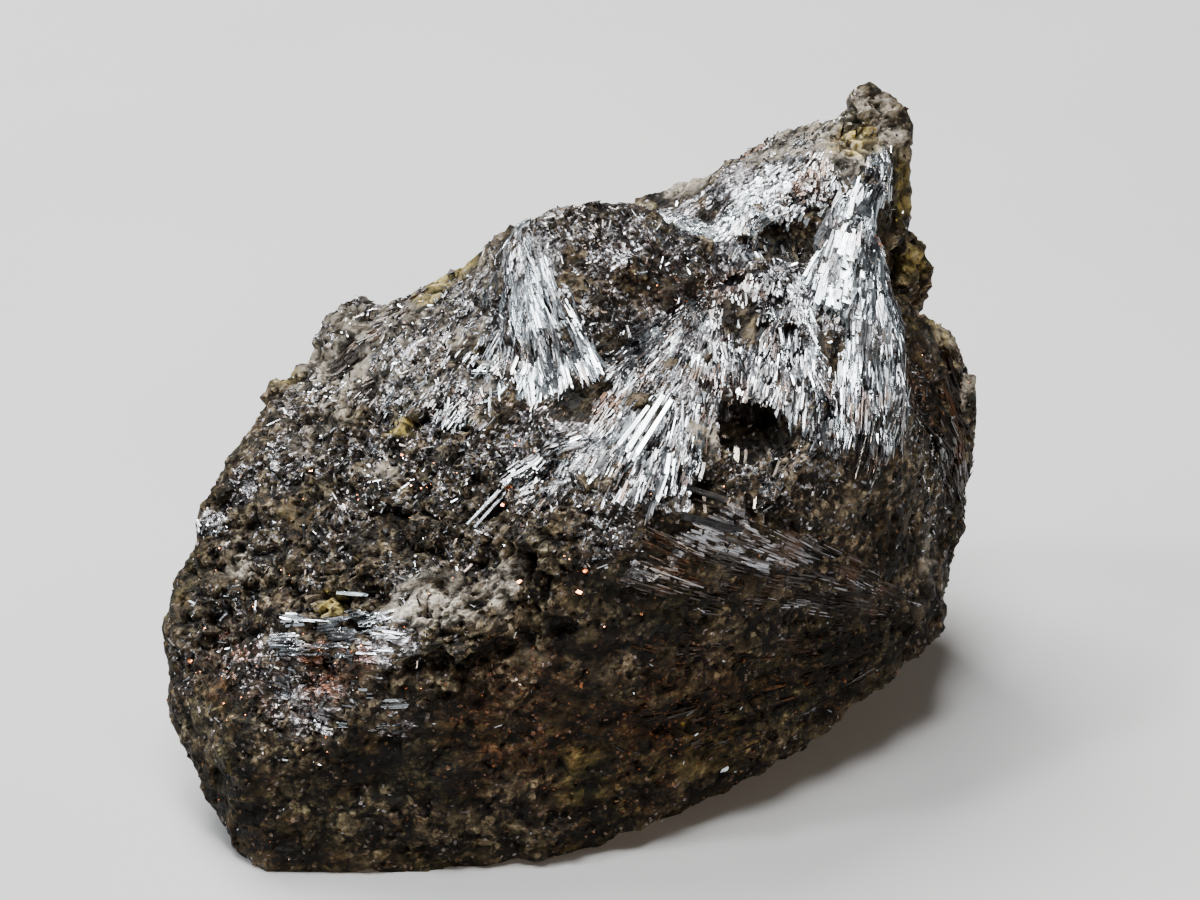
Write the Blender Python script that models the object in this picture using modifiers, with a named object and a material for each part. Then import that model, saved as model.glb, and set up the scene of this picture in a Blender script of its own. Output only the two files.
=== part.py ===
"""Hand specimen of massive stibnite: one broken lump of rock with radiating sprays of bladed crystals.

The lump grew and broke as one natural piece, so it is one solid. It is put together as it reads in the
hand: convex blocks bounded by fracture faces are joined, hollows are broken out of them, the skin is
roughened by lumps and grain, and crystal blades that fan out from a few roots stand a little proud of
that skin. The face with the sprays looks towards -Y, and +Z is up.
"""

import random

import bmesh
import bpy
from mathutils import Vector
from mathutils.bvhtree import BVHTree

MM = 0.001
SEED = 7

# Skin: how the fracture faces weather, in millimetres.
SKIN_CELL = 1.0
SKIN_SHARE_KEPT = 0.13
LUMP_SPACING = 7.5
LUMP_HEIGHT = 1.7
LUMP_MIDDLE = 0.25
GRAIN_SPACING = 2.4
GRAIN_HEIGHT = 1.0
GRAIN_MIDDLE = 0.5

# A box from the ground down, which cuts the flat face that the specimen rests on.
GROUND_SIZE = 120.0
GROUND_DEPTH = 20.0

# Crystal blades: how deep a root is buried and how far a tip stands off the skin, in millimetres, the
# pointed end's share of the length, how much narrower the root and the tip are, and how uneven a row is.
ROOT_DEPTH = 0.45
TIP_LIFT = 0.45
POINT_SHARE = 0.14
END_NARROWING = 0.7
WIDTH_SPREAD = 0.2
ROW_UNEVENNESS = 0.3

# Corners of the convex blocks that the lump is made of, in millimetres.
BLOCKS = {
    "main_mass": [
        # left rim, from the high back end down to the foot
        (-19.0, 14.0, 33.0), (-26.0, 9.0, 27.5), (-31.3, 0.0, 22.8), (-34.4, -7.0, 15.5),
        (-34.0, -11.0, 9.8), (-30.8, -16.0, 6.0), (-27.4, -20.5, 0.0),
        # brow, where the top turns down into the front face
        (27.0, -3.5, 30.0), (19.2, -9.0, 31.8), (10.0, -15.0, 31.6), (-0.5, -15.0, 30.6),
        (-4.0, -18.0, 25.0), (-13.6, -20.5, 19.6), (-28.0, -19.5, 9.6),
        # foot of the front face, which rises off the ground to the right
        (-25.0, -22.4, 0.0), (-11.5, -22.2, 0.0), (-2.3, -21.4, 0.2), (6.1, -19.0, 1.8),
        (13.2, -12.4, 3.2), (19.9, -10.8, 5.4), (26.1, -5.7, 7.4), (32.2, 0.4, 9.6),
        # right rim
        (32.6, 3.0, 11.4), (35.3, 11.0, 19.6), (35.8, 14.0, 25.0), (33.7, 17.0, 30.0),
        # high edge behind the sprays
        (13.0, 5.5, 39.0), (25.0, 9.0, 40.0), (1.0, 4.0, 37.6), (-12.0, 16.0, 34.4), (-2.0, 18.0, 37.0),
        # back face down to the ground
        (30.0, 21.0, 12.0), (24.0, 24.0, 3.0), (8.0, 26.5, 2.0), (-10.0, 24.0, 2.0), (-22.0, 15.0, 2.0),
        (-29.0, 0.0, 3.0),
        # under side
        (20.0, 18.0, -1.0), (16.0, -4.0, -1.0), (-24.0, 8.0, -1.0), (-8.0, 20.0, -1.0),
    ],
    "hump": [
        (-2.3, 8.5, 46.2), (0.6, 9.4, 46.6), (6.2, 12.0, 44.6), (12.4, 11.0, 42.4),
        (4.4, -2.8, 37.4), (-1.0, 1.0, 37.4), (-4.2, 13.0, 42.2), (-8.0, 15.0, 38.8),
        (-8.0, 8.0, 36.6), (0.0, 17.0, 33.0), (10.0, 14.0, 33.0), (-6.0, 15.0, 30.0), (11.0, 6.0, 38.0),
    ],
    "left_shoulder": [
        (-8.0, 15.0, 38.8), (-10.6, 16.0, 36.8), (-14.4, 13.0, 35.0), (-9.0, 4.0, 35.0),
        (-4.0, 0.0, 35.4), (-16.0, 4.0, 30.8), (-8.0, -8.0, 30.4), (-6.0, 10.0, 30.0), (-14.0, 12.0, 28.0),
    ],
    "back_slope": [
        (24.7, 20.6, 49.4), (28.9, 21.4, 48.4), (20.3, 24.0, 46.0), (15.1, 25.0, 43.7),
        (8.0, 22.0, 40.6), (24.0, 13.5, 45.2), (25.4, 12.0, 44.6), (29.5, 21.0, 41.4),
        (14.2, 11.6, 41.6), (19.4, 12.4, 43.0), (31.4, 19.0, 33.8), (16.0, 10.0, 32.0),
        # down the back, where it meets the main mass
        (0.0, 22.0, 36.4), (-6.0, 20.6, 31.0), (-2.0, 24.0, 14.0), (14.0, 27.0, 14.0), (29.0, 24.4, 18.0),
    ],
    "central_ledge": [
        (14.9, 9.0, 40.6), (20.0, 9.6, 41.2), (23.6, 9.6, 42.0), (15.6, 6.6, 39.4), (22.8, 7.2, 39.8),
        (14.0, 4.0, 34.0), (24.0, 4.0, 34.0), (19.0, 14.0, 36.0),
    ],
    "right_rib": [
        (24.2, 11.4, 45.4), (25.2, 11.8, 45.0), (21.4, 6.0, 40.3), (25.2, 4.0, 38.2), (27.6, 6.0, 38.6),
        (28.0, -2.6, 31.2), (24.6, -3.6, 32.0), (22.4, 0.0, 33.0), (28.6, 8.0, 33.0), (25.0, 12.0, 34.0),
    ],
    "peak_knob": [
        (24.6, 20.2, 51.4), (26.4, 21.6, 52.6), (29.0, 22.0, 51.0), (29.2, 20.8, 49.4),
        (24.4, 19.8, 48.4), (27.0, 23.4, 48.0), (25.0, 22.8, 50.8), (29.6, 21.0, 46.0), (26.0, 18.6, 46.0),
    ],
    "left_knob": [
        (-20.2, 13.2, 35.0), (-18.2, 13.6, 35.3), (-16.4, 13.4, 33.8), (-22.0, 12.4, 32.0),
        (-18.5, 16.0, 34.0), (-19.0, 10.4, 31.0), (-15.4, 14.0, 30.0), (-21.4, 15.0, 29.0),
    ],
    "rim_grain": [
        (-27.0, 9.4, 29.6), (-25.2, 10.0, 30.0), (-23.8, 9.4, 28.6), (-27.3, 8.6, 27.8),
        (-25.2, 7.4, 27.4), (-25.6, 11.4, 27.6), (-24.0, 9.0, 25.0),
    ],
}

# Corners of the hollows that are broken out of the lump, in millimetres.
HOLLOWS = {
    # shadowed step under the back slope
    "upper_step": [
        (13.0, 8.6, 44.0), (14.6, 11.6, 41.2), (19.6, 12.2, 41.4), (24.0, 12.4, 43.6), (23.0, 9.0, 47.0),
        (14.8, 10.0, 40.2), (19.8, 10.4, 40.6), (23.4, 10.4, 41.6),
    ],
    # deep vug beside the main spray
    "main_vug": [
        (12.4, -6.0, 38.0), (13.8, -10.6, 36.0), (17.4, -9.8, 36.0), (16.6, -5.0, 38.0),
        (14.0, -6.4, 29.6), (15.8, -7.6, 29.0), (14.2, -8.6, 29.0),
    ],
    # recess crossed by a needle, left of the main spray
    "needle_recess": [
        (-8.6, -11.0, 31.0), (-4.4, -9.6, 33.6), (-4.0, -11.6, 32.6), (-8.4, -13.4, 30.0),
        (-7.6, -11.6, 27.4), (-5.2, -11.0, 28.2),
    ],
    # shadowed hollow under the lower left ledge
    "ledge_hollow": [
        (-14.0, -24.0, 19.2), (-3.6, -22.0, 20.6), (-3.6, -22.0, 17.2), (-13.0, -24.0, 15.6),
        (-11.8, -18.2, 17.8), (-5.6, -16.8, 18.8),
    ],
    # notch in the left rim under the two grains
    "rim_notch": [
        (-27.6, 5.0, 31.0), (-26.4, 8.0, 31.0), (-30.0, 6.0, 25.0), (-27.0, 9.0, 25.4), (-25.6, 6.6, 27.0),
        (-29.5, 11.0, 28.0),
    ],
    # pit near the lower left rim
    "left_pit": [
        (-27.6, -16.0, 14.6), (-25.4, -16.0, 15.0), (-25.6, -17.4, 12.6), (-27.4, -17.6, 12.4),
        (-26.4, -13.0, 11.6),
    ],
}


# Sprays. Each is a fan of blades from one root, with tips along a line of points on the skin. A tier is
# the stretch of the fan, as shares of its length, that one row of blades covers.
SPRAYS = {
    "main_spray": {
        "root": (13.3, 8.3, 39.3),
        "tips": [
            (-0.4, -10.5, 32.4), (0.7, -14.0, 31.6), (4.8, -15.2, 31.8), (8.0, -15.2, 31.8), (11.2, -13.6, 32.4),
        ],
        "tiers": [(0.06, 0.42, 6), (0.28, 0.70, 8), (0.58, 1.02, 11)],
        "width": 0.95, "thickness": 1.00,
    },
    "main_spray_edge": {
        "root": (13.3, 8.3, 39.3),
        "tips": [(11.6, -6.6, 35.2), (14.8, -2.3, 36.4)],
        "tiers": [(0.10, 0.60, 3), (0.50, 1.00, 3)],
        "width": 0.8, "thickness": 0.95,
    },
    "left_spray": {
        "root": (-3.2, 10.4, 44.6),
        "tips": [(-6.6, 4.6, 36.4), (-3.6, 1.6, 36.2), (-1.5, -1.6, 35.4), (2.2, -2.6, 36.6)],
        "tiers": [(0.05, 0.50, 4), (0.40, 1.02, 7)],
        "width": 0.85, "thickness": 0.95,
    },
    "right_plates": {
        "root": (24.7, 12.0, 45.0),
        "tips": [(20.6, 6.2, 39.8), (22.6, 4.4, 38.6), (24.6, 3.4, 38.2)],
        "tiers": [(0.08, 0.55, 4), (0.45, 1.02, 4)],
        "width": 1.15, "thickness": 0.95,
    },
    "right_fibres": {
        "root": (25.2, 9.0, 43.0),
        "tips": [(23.8, -4.2, 32.2), (25.3, -4.4, 31.6), (27.2, -3.2, 30.6), (28.6, 1.6, 31.6)],
        "tiers": [(0.22, 0.66, 5), (0.56, 1.02, 6)],
        "width": 0.75, "thickness": 0.90,
    },
    "centre_fibres": {
        "root": (19.0, 12.0, 44.0),
        "tips": [(16.4, -3.6, 35.4), (18.6, -5.4, 34.6), (21.9, -4.8, 33.4)],
        "tiers": [(0.34, 0.68, 3), (0.60, 1.00, 5)],
        "width": 0.75, "thickness": 0.90,
    },
    "brow_spray": {
        "root": (32.4, 1.4, 13.0),
        "tips": [(5.8, -16.8, 26.4), (7.6, -16.2, 28.6), (12.6, -14.0, 28.6), (18.5, -10.0, 28.8)],
        "tiers": [(0.20, 0.62, 4), (0.54, 1.00, 5)],
        "width": 0.8, "thickness": 0.90,
    },
    "foot_spray": {
        "root": (32.2, 0.4, 11.0),
        "tips": [(4.2, -18.0, 21.0), (4.6, -18.4, 16.0), (8.6, -17.8, 10.0), (14.0, -13.8, 7.0)],
        "tiers": [(0.15, 0.60, 3), (0.52, 1.00, 4)],
        "width": 0.8, "thickness": 0.90,
    },
    "left_laths": {
        "root": (-46.0, -8.0, 14.0),
        "tips": [(-14.4, -18.4, 21.4), (-13.4, -20.0, 20.2), (-14.0, -21.4, 18.0)],
        "tiers": [(0.60, 0.80, 3), (0.72, 1.00, 4)],
        "width": 0.8, "thickness": 0.95,
    },
    "lone_blade": {
        "root": (-20.4, -11.8, 21.8),
        "tips": [(-16.2, -13.8, 22.0), (-16.2, -14.0, 21.8)],
        "tiers": [(-0.05, 1.05, 1)],
        "width": 0.9, "thickness": 0.95,
    },
    "rim_plates": {
        "root": (-24.0, 3.0, 27.5),
        "tips": [(-29.4, -1.6, 22.8), (-30.4, 0.4, 22.8), (-28.6, 2.2, 25.0)],
        "tiers": [(0.30, 1.02, 3)],
        "width": 1.2, "thickness": 1.05,
    },
    "back_spray": {
        "root": (3.0, 25.0, 31.0),
        "tips": [(-15.0, 22.0, 17.0), (-8.0, 25.0, 9.0), (3.0, 27.0, 8.0)],
        "tiers": [(0.10, 0.60, 4), (0.50, 1.00, 5)],
        "width": 1.0, "thickness": 1.0,
    },
    "recess_needle": {
        "root": (-8.4, -12.6, 28.6),
        "tips": [(-4.3, -10.0, 31.6), (-4.2, -10.0, 31.4)],
        "tiers": [(-0.05, 1.05, 1)],
        "width": 0.7, "thickness": 1.05,
    },
}


def add_hull(bm, corners):
    """Add the convex hull of a few corners, given in metres."""
    verts = [bm.verts.new(corner) for corner in corners]
    hull = bmesh.ops.convex_hull(bm, input=verts)
    buried = {e for e in hull["geom_interior"] + hull["geom_unused"] if isinstance(e, bmesh.types.BMVert)}
    bmesh.ops.delete(bm, geom=list(buried), context="VERTS")


def convex_block(name, corners, collection):
    """The convex hull of a few corners, given in millimetres, as an object of its own."""
    bm = bmesh.new()
    add_hull(bm, [Vector(corner) * MM for corner in corners])
    bmesh.ops.recalc_face_normals(bm, faces=bm.faces)
    mesh = bpy.data.meshes.new(name)
    bm.to_mesh(mesh)
    bm.free()
    block = bpy.data.objects.new(name, mesh)
    collection.objects.link(block)
    return block


def mark_as_guide(obj):
    """Show a cutter or guide as wires only."""
    obj.hide_render = True
    obj.display_type = "WIRE"


def add_boolean(obj, name, operation, collection):
    """Join the objects of a collection to obj, or cut them from it."""
    cut = obj.modifiers.new(name, "BOOLEAN")
    cut.operation = operation
    cut.operand_type = "COLLECTION"
    cut.collection = collection
    cut.solver = "EXACT"


def add_roughness(obj, name, kind, spacing, height, middle):
    """Push the skin in and out by a solid pattern of the given spacing."""
    pattern = bpy.data.textures.new(name, kind)
    pattern.noise_scale = spacing * MM
    displace = obj.modifiers.new(name, "DISPLACE")
    displace.texture = pattern
    displace.texture_coords = "LOCAL"
    displace.strength = height * MM
    displace.mid_level = middle


def make_lump(parts, guides):
    """The broken lump without its crystals: blocks, hollows, and a skin of lumps and grain."""
    lump = convex_block("stibnite_mass", BLOCKS["main_mass"], parts)
    for name, corners in BLOCKS.items():
        if name != "main_mass":
            mark_as_guide(convex_block(name, corners, guides["blocks"]))
    for name, corners in HOLLOWS.items():
        mark_as_guide(convex_block(name, corners, guides["hollows"]))
    add_boolean(lump, "join_blocks", "UNION", guides["blocks"])
    add_boolean(lump, "break_hollows", "DIFFERENCE", guides["hollows"])
    remesh = lump.modifiers.new("weld_skin", "REMESH")
    remesh.mode = "VOXEL"
    remesh.voxel_size = SKIN_CELL * MM
    add_roughness(lump, "lumps", "CLOUDS", LUMP_SPACING, LUMP_HEIGHT, LUMP_MIDDLE)
    add_roughness(lump, "grain", "VORONOI", GRAIN_SPACING, GRAIN_HEIGHT, GRAIN_MIDDLE)
    thin = lump.modifiers.new("thin_out", "DECIMATE")
    thin.ratio = SKIN_SHARE_KEPT
    return lump


def skin_tree(lump):
    """The lump's skin as it stands, for laying crystals on it."""
    return BVHTree.FromObject(lump, bpy.context.evaluated_depsgraph_get())


def point_along(points, share):
    """The point at a share of the way along a line of points."""
    place = share * (len(points) - 1)
    i = min(int(place), len(points) - 2)
    return Vector(points[i]).lerp(Vector(points[i + 1]), place - i)


def add_blade(bm, skin, start, end, width, thickness):
    """A flat blade laid on the skin: narrow and buried at its root, proud and pointed at its tip."""
    root, root_normal = skin.find_nearest(start * MM)[:2]
    tip, tip_normal = skin.find_nearest(end * MM)[:2]
    up = (root_normal + tip_normal).normalized()
    root = root - up * ROOT_DEPTH * MM
    tip = tip + up * TIP_LIFT * MM
    along = tip - root
    across = along.cross(up).normalized() * width * MM / 2
    high = across.cross(along).normalized() * thickness * MM / 2
    neck = tip - along * POINT_SHARE
    corners = [root + a * across * END_NARROWING + h * high for a in (-1, 1) for h in (-1, 1)]
    corners += [neck + a * across + h * high for a in (-1, 1) for h in (-1, 1)]
    corners += [tip + h * high * END_NARROWING for h in (-1, 1)]
    add_hull(bm, corners)


def make_crystals(lump, guides):
    """All blades of all sprays as one object, laid out tier by tier across each fan."""
    rng = random.Random(SEED)
    skin = skin_tree(lump)
    bm = bmesh.new()
    for spray in SPRAYS.values():
        root = Vector(spray["root"])
        for start_share, end_share, count in spray["tiers"]:
            for i in range(count):
                across = (i + 0.5 + rng.uniform(-ROW_UNEVENNESS, ROW_UNEVENNESS)) / count
                far = point_along(spray["tips"], across)
                slip = rng.uniform(-ROW_UNEVENNESS, ROW_UNEVENNESS) * (end_share - start_share)
                start = root.lerp(far, start_share + slip)
                end = root.lerp(far, end_share + min(slip, 0.0))
                width = spray["width"] * rng.uniform(1 - WIDTH_SPREAD, 1 + WIDTH_SPREAD)
                add_blade(bm, skin, start, end, width, spray["thickness"])
    bmesh.ops.recalc_face_normals(bm, faces=bm.faces)
    mesh = bpy.data.meshes.new("crystals")
    bm.to_mesh(mesh)
    bm.free()
    crystals = bpy.data.objects.new("crystals", mesh)
    guides["crystals"].objects.link(crystals)
    mark_as_guide(crystals)


def make_ground(guides):
    """The box below the resting face."""
    bm = bmesh.new()
    bmesh.ops.create_cube(bm, size=1.0)
    bmesh.ops.scale(bm, vec=(GROUND_SIZE * MM, GROUND_SIZE * MM, GROUND_DEPTH * MM), verts=bm.verts)
    bmesh.ops.translate(bm, vec=(0.0, 0.0, -GROUND_DEPTH * MM / 2), verts=bm.verts)
    mesh = bpy.data.meshes.new("ground")
    bm.to_mesh(mesh)
    bm.free()
    ground = bpy.data.objects.new("ground", mesh)
    guides["ground"].objects.link(ground)
    mark_as_guide(ground)


def stibnite():
    """Lead-grey sulphide, dulled by a brown stain."""
    material = bpy.data.materials.new("stibnite")
    material.use_nodes = True
    surface = material.node_tree.nodes["Principled BSDF"]
    surface.inputs["Base Color"].default_value = (0.16, 0.15, 0.145, 1.0)
    surface.inputs["Roughness"].default_value = 0.42
    surface.inputs["Metallic"].default_value = 0.6
    return material


def islands(bm):
    """The separate shells of a mesh, as lists of vertices."""
    found = []
    seen = set()
    for seed in bm.verts:
        if seed in seen:
            continue
        seen.add(seed)
        shell = [seed]
        for vert in shell:
            near = {edge.other_vert(vert) for edge in vert.link_edges} - seen
            seen |= near
            shell.extend(sorted(near, key=lambda v: v.index))
        found.append(shell)
    return found


def settle(lump):
    """Make the modifiers' result the lump's own mesh, and fill the slivers of void inside it."""
    evaluated = lump.evaluated_get(bpy.context.evaluated_depsgraph_get())
    mesh = bpy.data.meshes.new_from_object(evaluated)
    lump.modifiers.clear()
    lump.data = mesh
    bm = bmesh.new()
    bm.from_mesh(mesh)
    shells = sorted(islands(bm), key=len)
    for shell in shells[:-1]:
        bmesh.ops.delete(bm, geom=shell, context="VERTS")
    bmesh.ops.triangulate(bm, faces=bm.faces)
    bm.to_mesh(mesh)
    bm.free()


def stand_on_footprint(lump, anchor):
    """Move everything so that the middle of the lump's footprint is the origin."""
    xs = [v.co.x for v in lump.data.vertices]
    ys = [v.co.y for v in lump.data.vertices]
    anchor.location = (-(min(xs) + max(xs)) / 2, -(min(ys) + max(ys)) / 2, 0.0)


def main():
    """Empty the scene and build the specimen in it."""
    for obj in list(bpy.data.objects):
        bpy.data.objects.remove(obj)
    scene_root = bpy.context.scene.collection
    parts = bpy.data.collections.new("stibnite_specimen")
    scene_root.children.link(parts)
    guides = {}
    for name in ("blocks", "hollows", "crystals", "ground"):
        guides[name] = bpy.data.collections.new(name)
        scene_root.children.link(guides[name])
    lump = make_lump(parts, guides)
    make_crystals(lump, guides)
    add_boolean(lump, "grow_crystals", "UNION", guides["crystals"])
    lump.modifiers["grow_crystals"].use_self = True
    make_ground(guides)
    add_boolean(lump, "cut_flat", "DIFFERENCE", guides["ground"])
    settle(lump)
    lump.data.materials.clear()
    lump.data.materials.append(stibnite())
    anchor = bpy.data.objects.new("stibnite_specimen", None)
    parts.objects.link(anchor)
    for obj in bpy.data.objects:
        if obj is not anchor:
            obj.parent = anchor
    stand_on_footprint(lump, anchor)


main()
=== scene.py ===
# A hand specimen of stibnite: a broken lump of brown, iron-stained rock, overgrown with
# silvery sprays of bladed stibnite crystals. It is dressed from the base upwards: the rock itself,
# the large sprays on top, the dark sprays below them, then the grains, single crystals and sparks.
import math

import bpy
import numpy as np
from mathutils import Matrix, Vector, noise
from mathutils.bvhtree import BVHTree
from mathutils.kdtree import KDTree


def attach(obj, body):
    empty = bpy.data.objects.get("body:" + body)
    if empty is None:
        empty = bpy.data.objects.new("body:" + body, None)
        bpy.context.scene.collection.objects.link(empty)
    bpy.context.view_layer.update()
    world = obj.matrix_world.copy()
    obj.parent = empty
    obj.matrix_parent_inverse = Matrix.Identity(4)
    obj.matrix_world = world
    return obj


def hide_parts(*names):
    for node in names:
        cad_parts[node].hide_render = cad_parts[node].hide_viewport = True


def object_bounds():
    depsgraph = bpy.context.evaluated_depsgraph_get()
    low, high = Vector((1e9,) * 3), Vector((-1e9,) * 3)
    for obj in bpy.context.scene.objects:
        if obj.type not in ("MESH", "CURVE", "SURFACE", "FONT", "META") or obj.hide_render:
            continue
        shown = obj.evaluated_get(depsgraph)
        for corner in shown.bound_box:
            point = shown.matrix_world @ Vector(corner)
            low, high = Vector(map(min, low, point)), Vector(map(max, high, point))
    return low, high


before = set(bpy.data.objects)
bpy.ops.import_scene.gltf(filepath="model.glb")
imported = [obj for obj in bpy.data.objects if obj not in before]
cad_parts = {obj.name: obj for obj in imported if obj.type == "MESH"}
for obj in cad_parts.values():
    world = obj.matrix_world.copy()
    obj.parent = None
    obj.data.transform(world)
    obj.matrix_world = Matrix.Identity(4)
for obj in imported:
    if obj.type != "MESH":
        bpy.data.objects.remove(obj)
cad_low, cad_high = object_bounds()

# ----------------------------------------
# The table and the light. A pale matt studio board carries the specimen. A wide soft lamp hangs
# behind it to the left and a smaller one straight above, a far lamp lights the whole room, and a
# small warm one stands low in front. Lengths in this section are metres.
CAMERA_PLACE = (0.001980, -0.286697, 0.192221)
CAMERA_AIM = (0.001980, -0.000909, 0.027221)
CAMERA_LENS = 115.83
# Each lamp is given by its name, kind, place, size (or width in the sky), power and colour.
LAMPS = [
    ("key_lamp", "AREA", (-0.15, 0.19, 0.44), 0.24, 6.8, (1.0, 0.985, 0.97)),
    ("top_lamp", "AREA", (-0.02, -0.06, 0.46), 0.16, 3.0, (0.98, 0.99, 1.0)),
    ("far_lamp", "SUN", (-0.30, -0.05, 0.42), math.radians(7.0), 2.0, (0.94, 0.97, 1.0)),
    ("warm_lamp", "AREA", (0.22, -0.36, 0.17), 0.09, 0.8, (1.0, 0.80, 0.60)),
]
LAMP_TARGET = (0.0, 0.0, 0.03)
SKY_COLOUR = (0.075, 0.081, 0.090, 1.0)
HORIZON_COLOUR = (0.34, 0.35, 0.36, 1.0)
HORIZON_LOW, HORIZON_HIGH = 0.02, 0.22
FLOOR_REACH = 6.0
# The board's painted light: where it starts and where it is full, in metres from the middle.
BOARD_PAINTED_LIGHT_START, BOARD_PAINTED_LIGHT_END = 0.30, 1.10
BOARD_CLOUD, BOARD_ROUGHNESS, BOARD_SHINE = 14.0, 0.75, 0.2


def linear(red, green, blue):
    """The linear colour of three everyday 0 to 255 levels."""
    levels = [level / 255 for level in (red, green, blue)]
    bent = [((level + 0.055) / 1.055) ** 2.4 if level > 0.04 else level / 12.92 for level in levels]
    return (*bent, 1.0)


def shades(*rows):
    """Colour steps, each given by its place and three everyday 0 to 255 levels."""
    return [(place, linear(*levels)) for place, *levels in rows]


def aim_at(thing, target):
    """Turns a lamp or the camera to face a point."""
    thing.rotation_euler = (Vector(target) - thing.location).to_track_quat("-Z", "Y").to_euler()


def placed(name, data):
    """A new thing in the scene, made of a camera, a lamp or a mesh."""
    thing = bpy.data.objects.new(name, data)
    bpy.context.collection.objects.link(thing)
    return thing


lens = bpy.data.cameras.new("camera")
lens.lens = CAMERA_LENS
lens.sensor_width = 36.0
lens.clip_start = 0.01
camera = placed("camera", lens)
camera.location = CAMERA_PLACE
aim_at(camera, CAMERA_AIM)
bpy.context.scene.camera = camera

for lamp_name, kind, place, size, power, colour in LAMPS:
    light = bpy.data.lights.new(lamp_name, kind)
    setattr(light, "size" if kind == "AREA" else "angle", size)
    light.energy = power
    light.color = colour
    lamp = placed(lamp_name, light)
    lamp.location = place
    aim_at(lamp, LAMP_TARGET)

studio = bpy.data.worlds.new("studio")
bpy.context.scene.world = studio
studio.use_nodes = True
studio_tree = studio.node_tree

board_mesh = bpy.data.meshes.new("board")
board_signs = ((-1, -1), (1, -1), (1, 1), (-1, 1))
board_corners = [(across * FLOOR_REACH, back * FLOOR_REACH, 0) for across, back in board_signs]
board_mesh.from_pydata(board_corners, [], [(0, 1, 2, 3)])
board = placed("board", board_mesh)


def feed(made, sockets):
    """Gives a node's sockets, by name or number, plain values or links to other nodes."""
    for key, value in sockets.items():
        if isinstance(value, Value):
            made.id_data.links.new(value.socket, made.inputs[key])
        else:
            made.inputs[key].default_value = value


def node(tree, kind, sockets=None, **settings):
    """One shader node, with its settings and what its sockets are given."""
    made = tree.nodes.new("ShaderNode" + kind)
    for name, setting in settings.items():
        setattr(made, name, setting)
    feed(made, sockets or {})
    return made


def worked_out(tree, kind, output, sockets=None, **settings):
    """The value that one shader node works out."""
    return Value(node(tree, kind, sockets, **settings).outputs[output])


def calc(tree, work, first, second):
    """Two numbers put together by one sum."""
    return worked_out(tree, "Math", 0, {0: first, 1: second}, operation=work)


class Value:
    """A number, place or colour worked out by shader nodes, and the nodes that can go on from it."""

    def __init__(self, socket):
        self.socket = socket
        self.tree = socket.id_data

    def __add__(self, other):
        return calc(self.tree, "ADD", self, other)

    def __sub__(self, other):
        return calc(self.tree, "SUBTRACT", self, other)

    def __rsub__(self, other):
        return calc(self.tree, "SUBTRACT", other, self)

    def __mul__(self, other):
        return calc(self.tree, "MULTIPLY", self, other)

    def spread(self, low, high, new_low=0.0, new_high=1.0):
        """This number moved from one range to another and held inside it."""
        ranges = {"From Min": low, "From Max": high, "To Min": new_low, "To Max": new_high}
        return worked_out(self.tree, "MapRange", "Result", {"Value": self, **ranges})

    def steps(self, steps):
        """A run of colours chosen by this number, from 0 to 1."""
        made = node(self.tree, "ValToRGB", {"Fac": self})
        elements = made.color_ramp.elements
        while len(elements) < len(steps):
            elements.new(0.5)
        for element, (place, colour) in zip(elements, steps):
            element.position = place
            element.color = colour
        return Value(made.outputs["Color"])

    def mix(self, first, second):
        """Two colours mixed by this number."""
        return worked_out(self.tree, "Mix", 2, {0: self, 6: first, 7: second}, data_type="RGBA")


def new_material(name):
    """A new material, with its nodes and its shader."""
    material = bpy.data.materials.new(name)
    material.use_nodes = True
    return material, material.node_tree, material.node_tree.nodes["Principled BSDF"]


studio_way = worked_out(studio_tree, "TexCoord", "Generated")
studio_glow = worked_out(studio_tree, "SeparateXYZ", "Z", {"Vector": studio_way})
studio_glow = studio_glow.spread(HORIZON_LOW, HORIZON_HIGH)
studio_light = studio_glow.steps([(0.0, HORIZON_COLOUR), (1.0, SKY_COLOUR)])
feed(studio_tree.nodes["Background"], {"Color": studio_light})

board_paint, board_tree, board_shader = new_material("pale_board")
board_place = worked_out(board_tree, "TexCoord", "Object")
board_noise = {"Vector": board_place, "Scale": BOARD_CLOUD, "Detail": 6.0}
board_cloud = worked_out(board_tree, "TexNoise", "Fac", board_noise)
board_near = board_cloud.steps(shades((0.3, 164, 165, 166), (0.7, 171, 171, 170)))
# Painted light: the board is painted lighter towards its far edges, standing in for lamp light on the far
# floor.
board_far_painted_light = worked_out(board_tree, "VectorMath", "Value", {"Vector": board_place}, operation="LENGTH")
board_far_painted_light = board_far_painted_light.spread(BOARD_PAINTED_LIGHT_START, BOARD_PAINTED_LIGHT_END)
feed(board_shader, {
    "Base Color": board_far_painted_light.mix(board_near, linear(236, 236, 235)), "Roughness": BOARD_ROUGHNESS,
    "Specular IOR Level": BOARD_SHINE,
})
board_mesh.materials.append(board_paint)

# ----------------------------------------
# The rock. A broken lump of fine-grained brown rock soaked with stibnite, rusty and olive where
# it has weathered. It stands on its own flat foot, and its skin is small crystal faces, pits and
# crumbs. From here on lengths are millimetres, turned into metres as each mesh is made.
MM = 0.001
ROCK_CELL = 0.40
CREST_SIZE, CREST_HEIGHT = 5.5, 0.30
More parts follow.
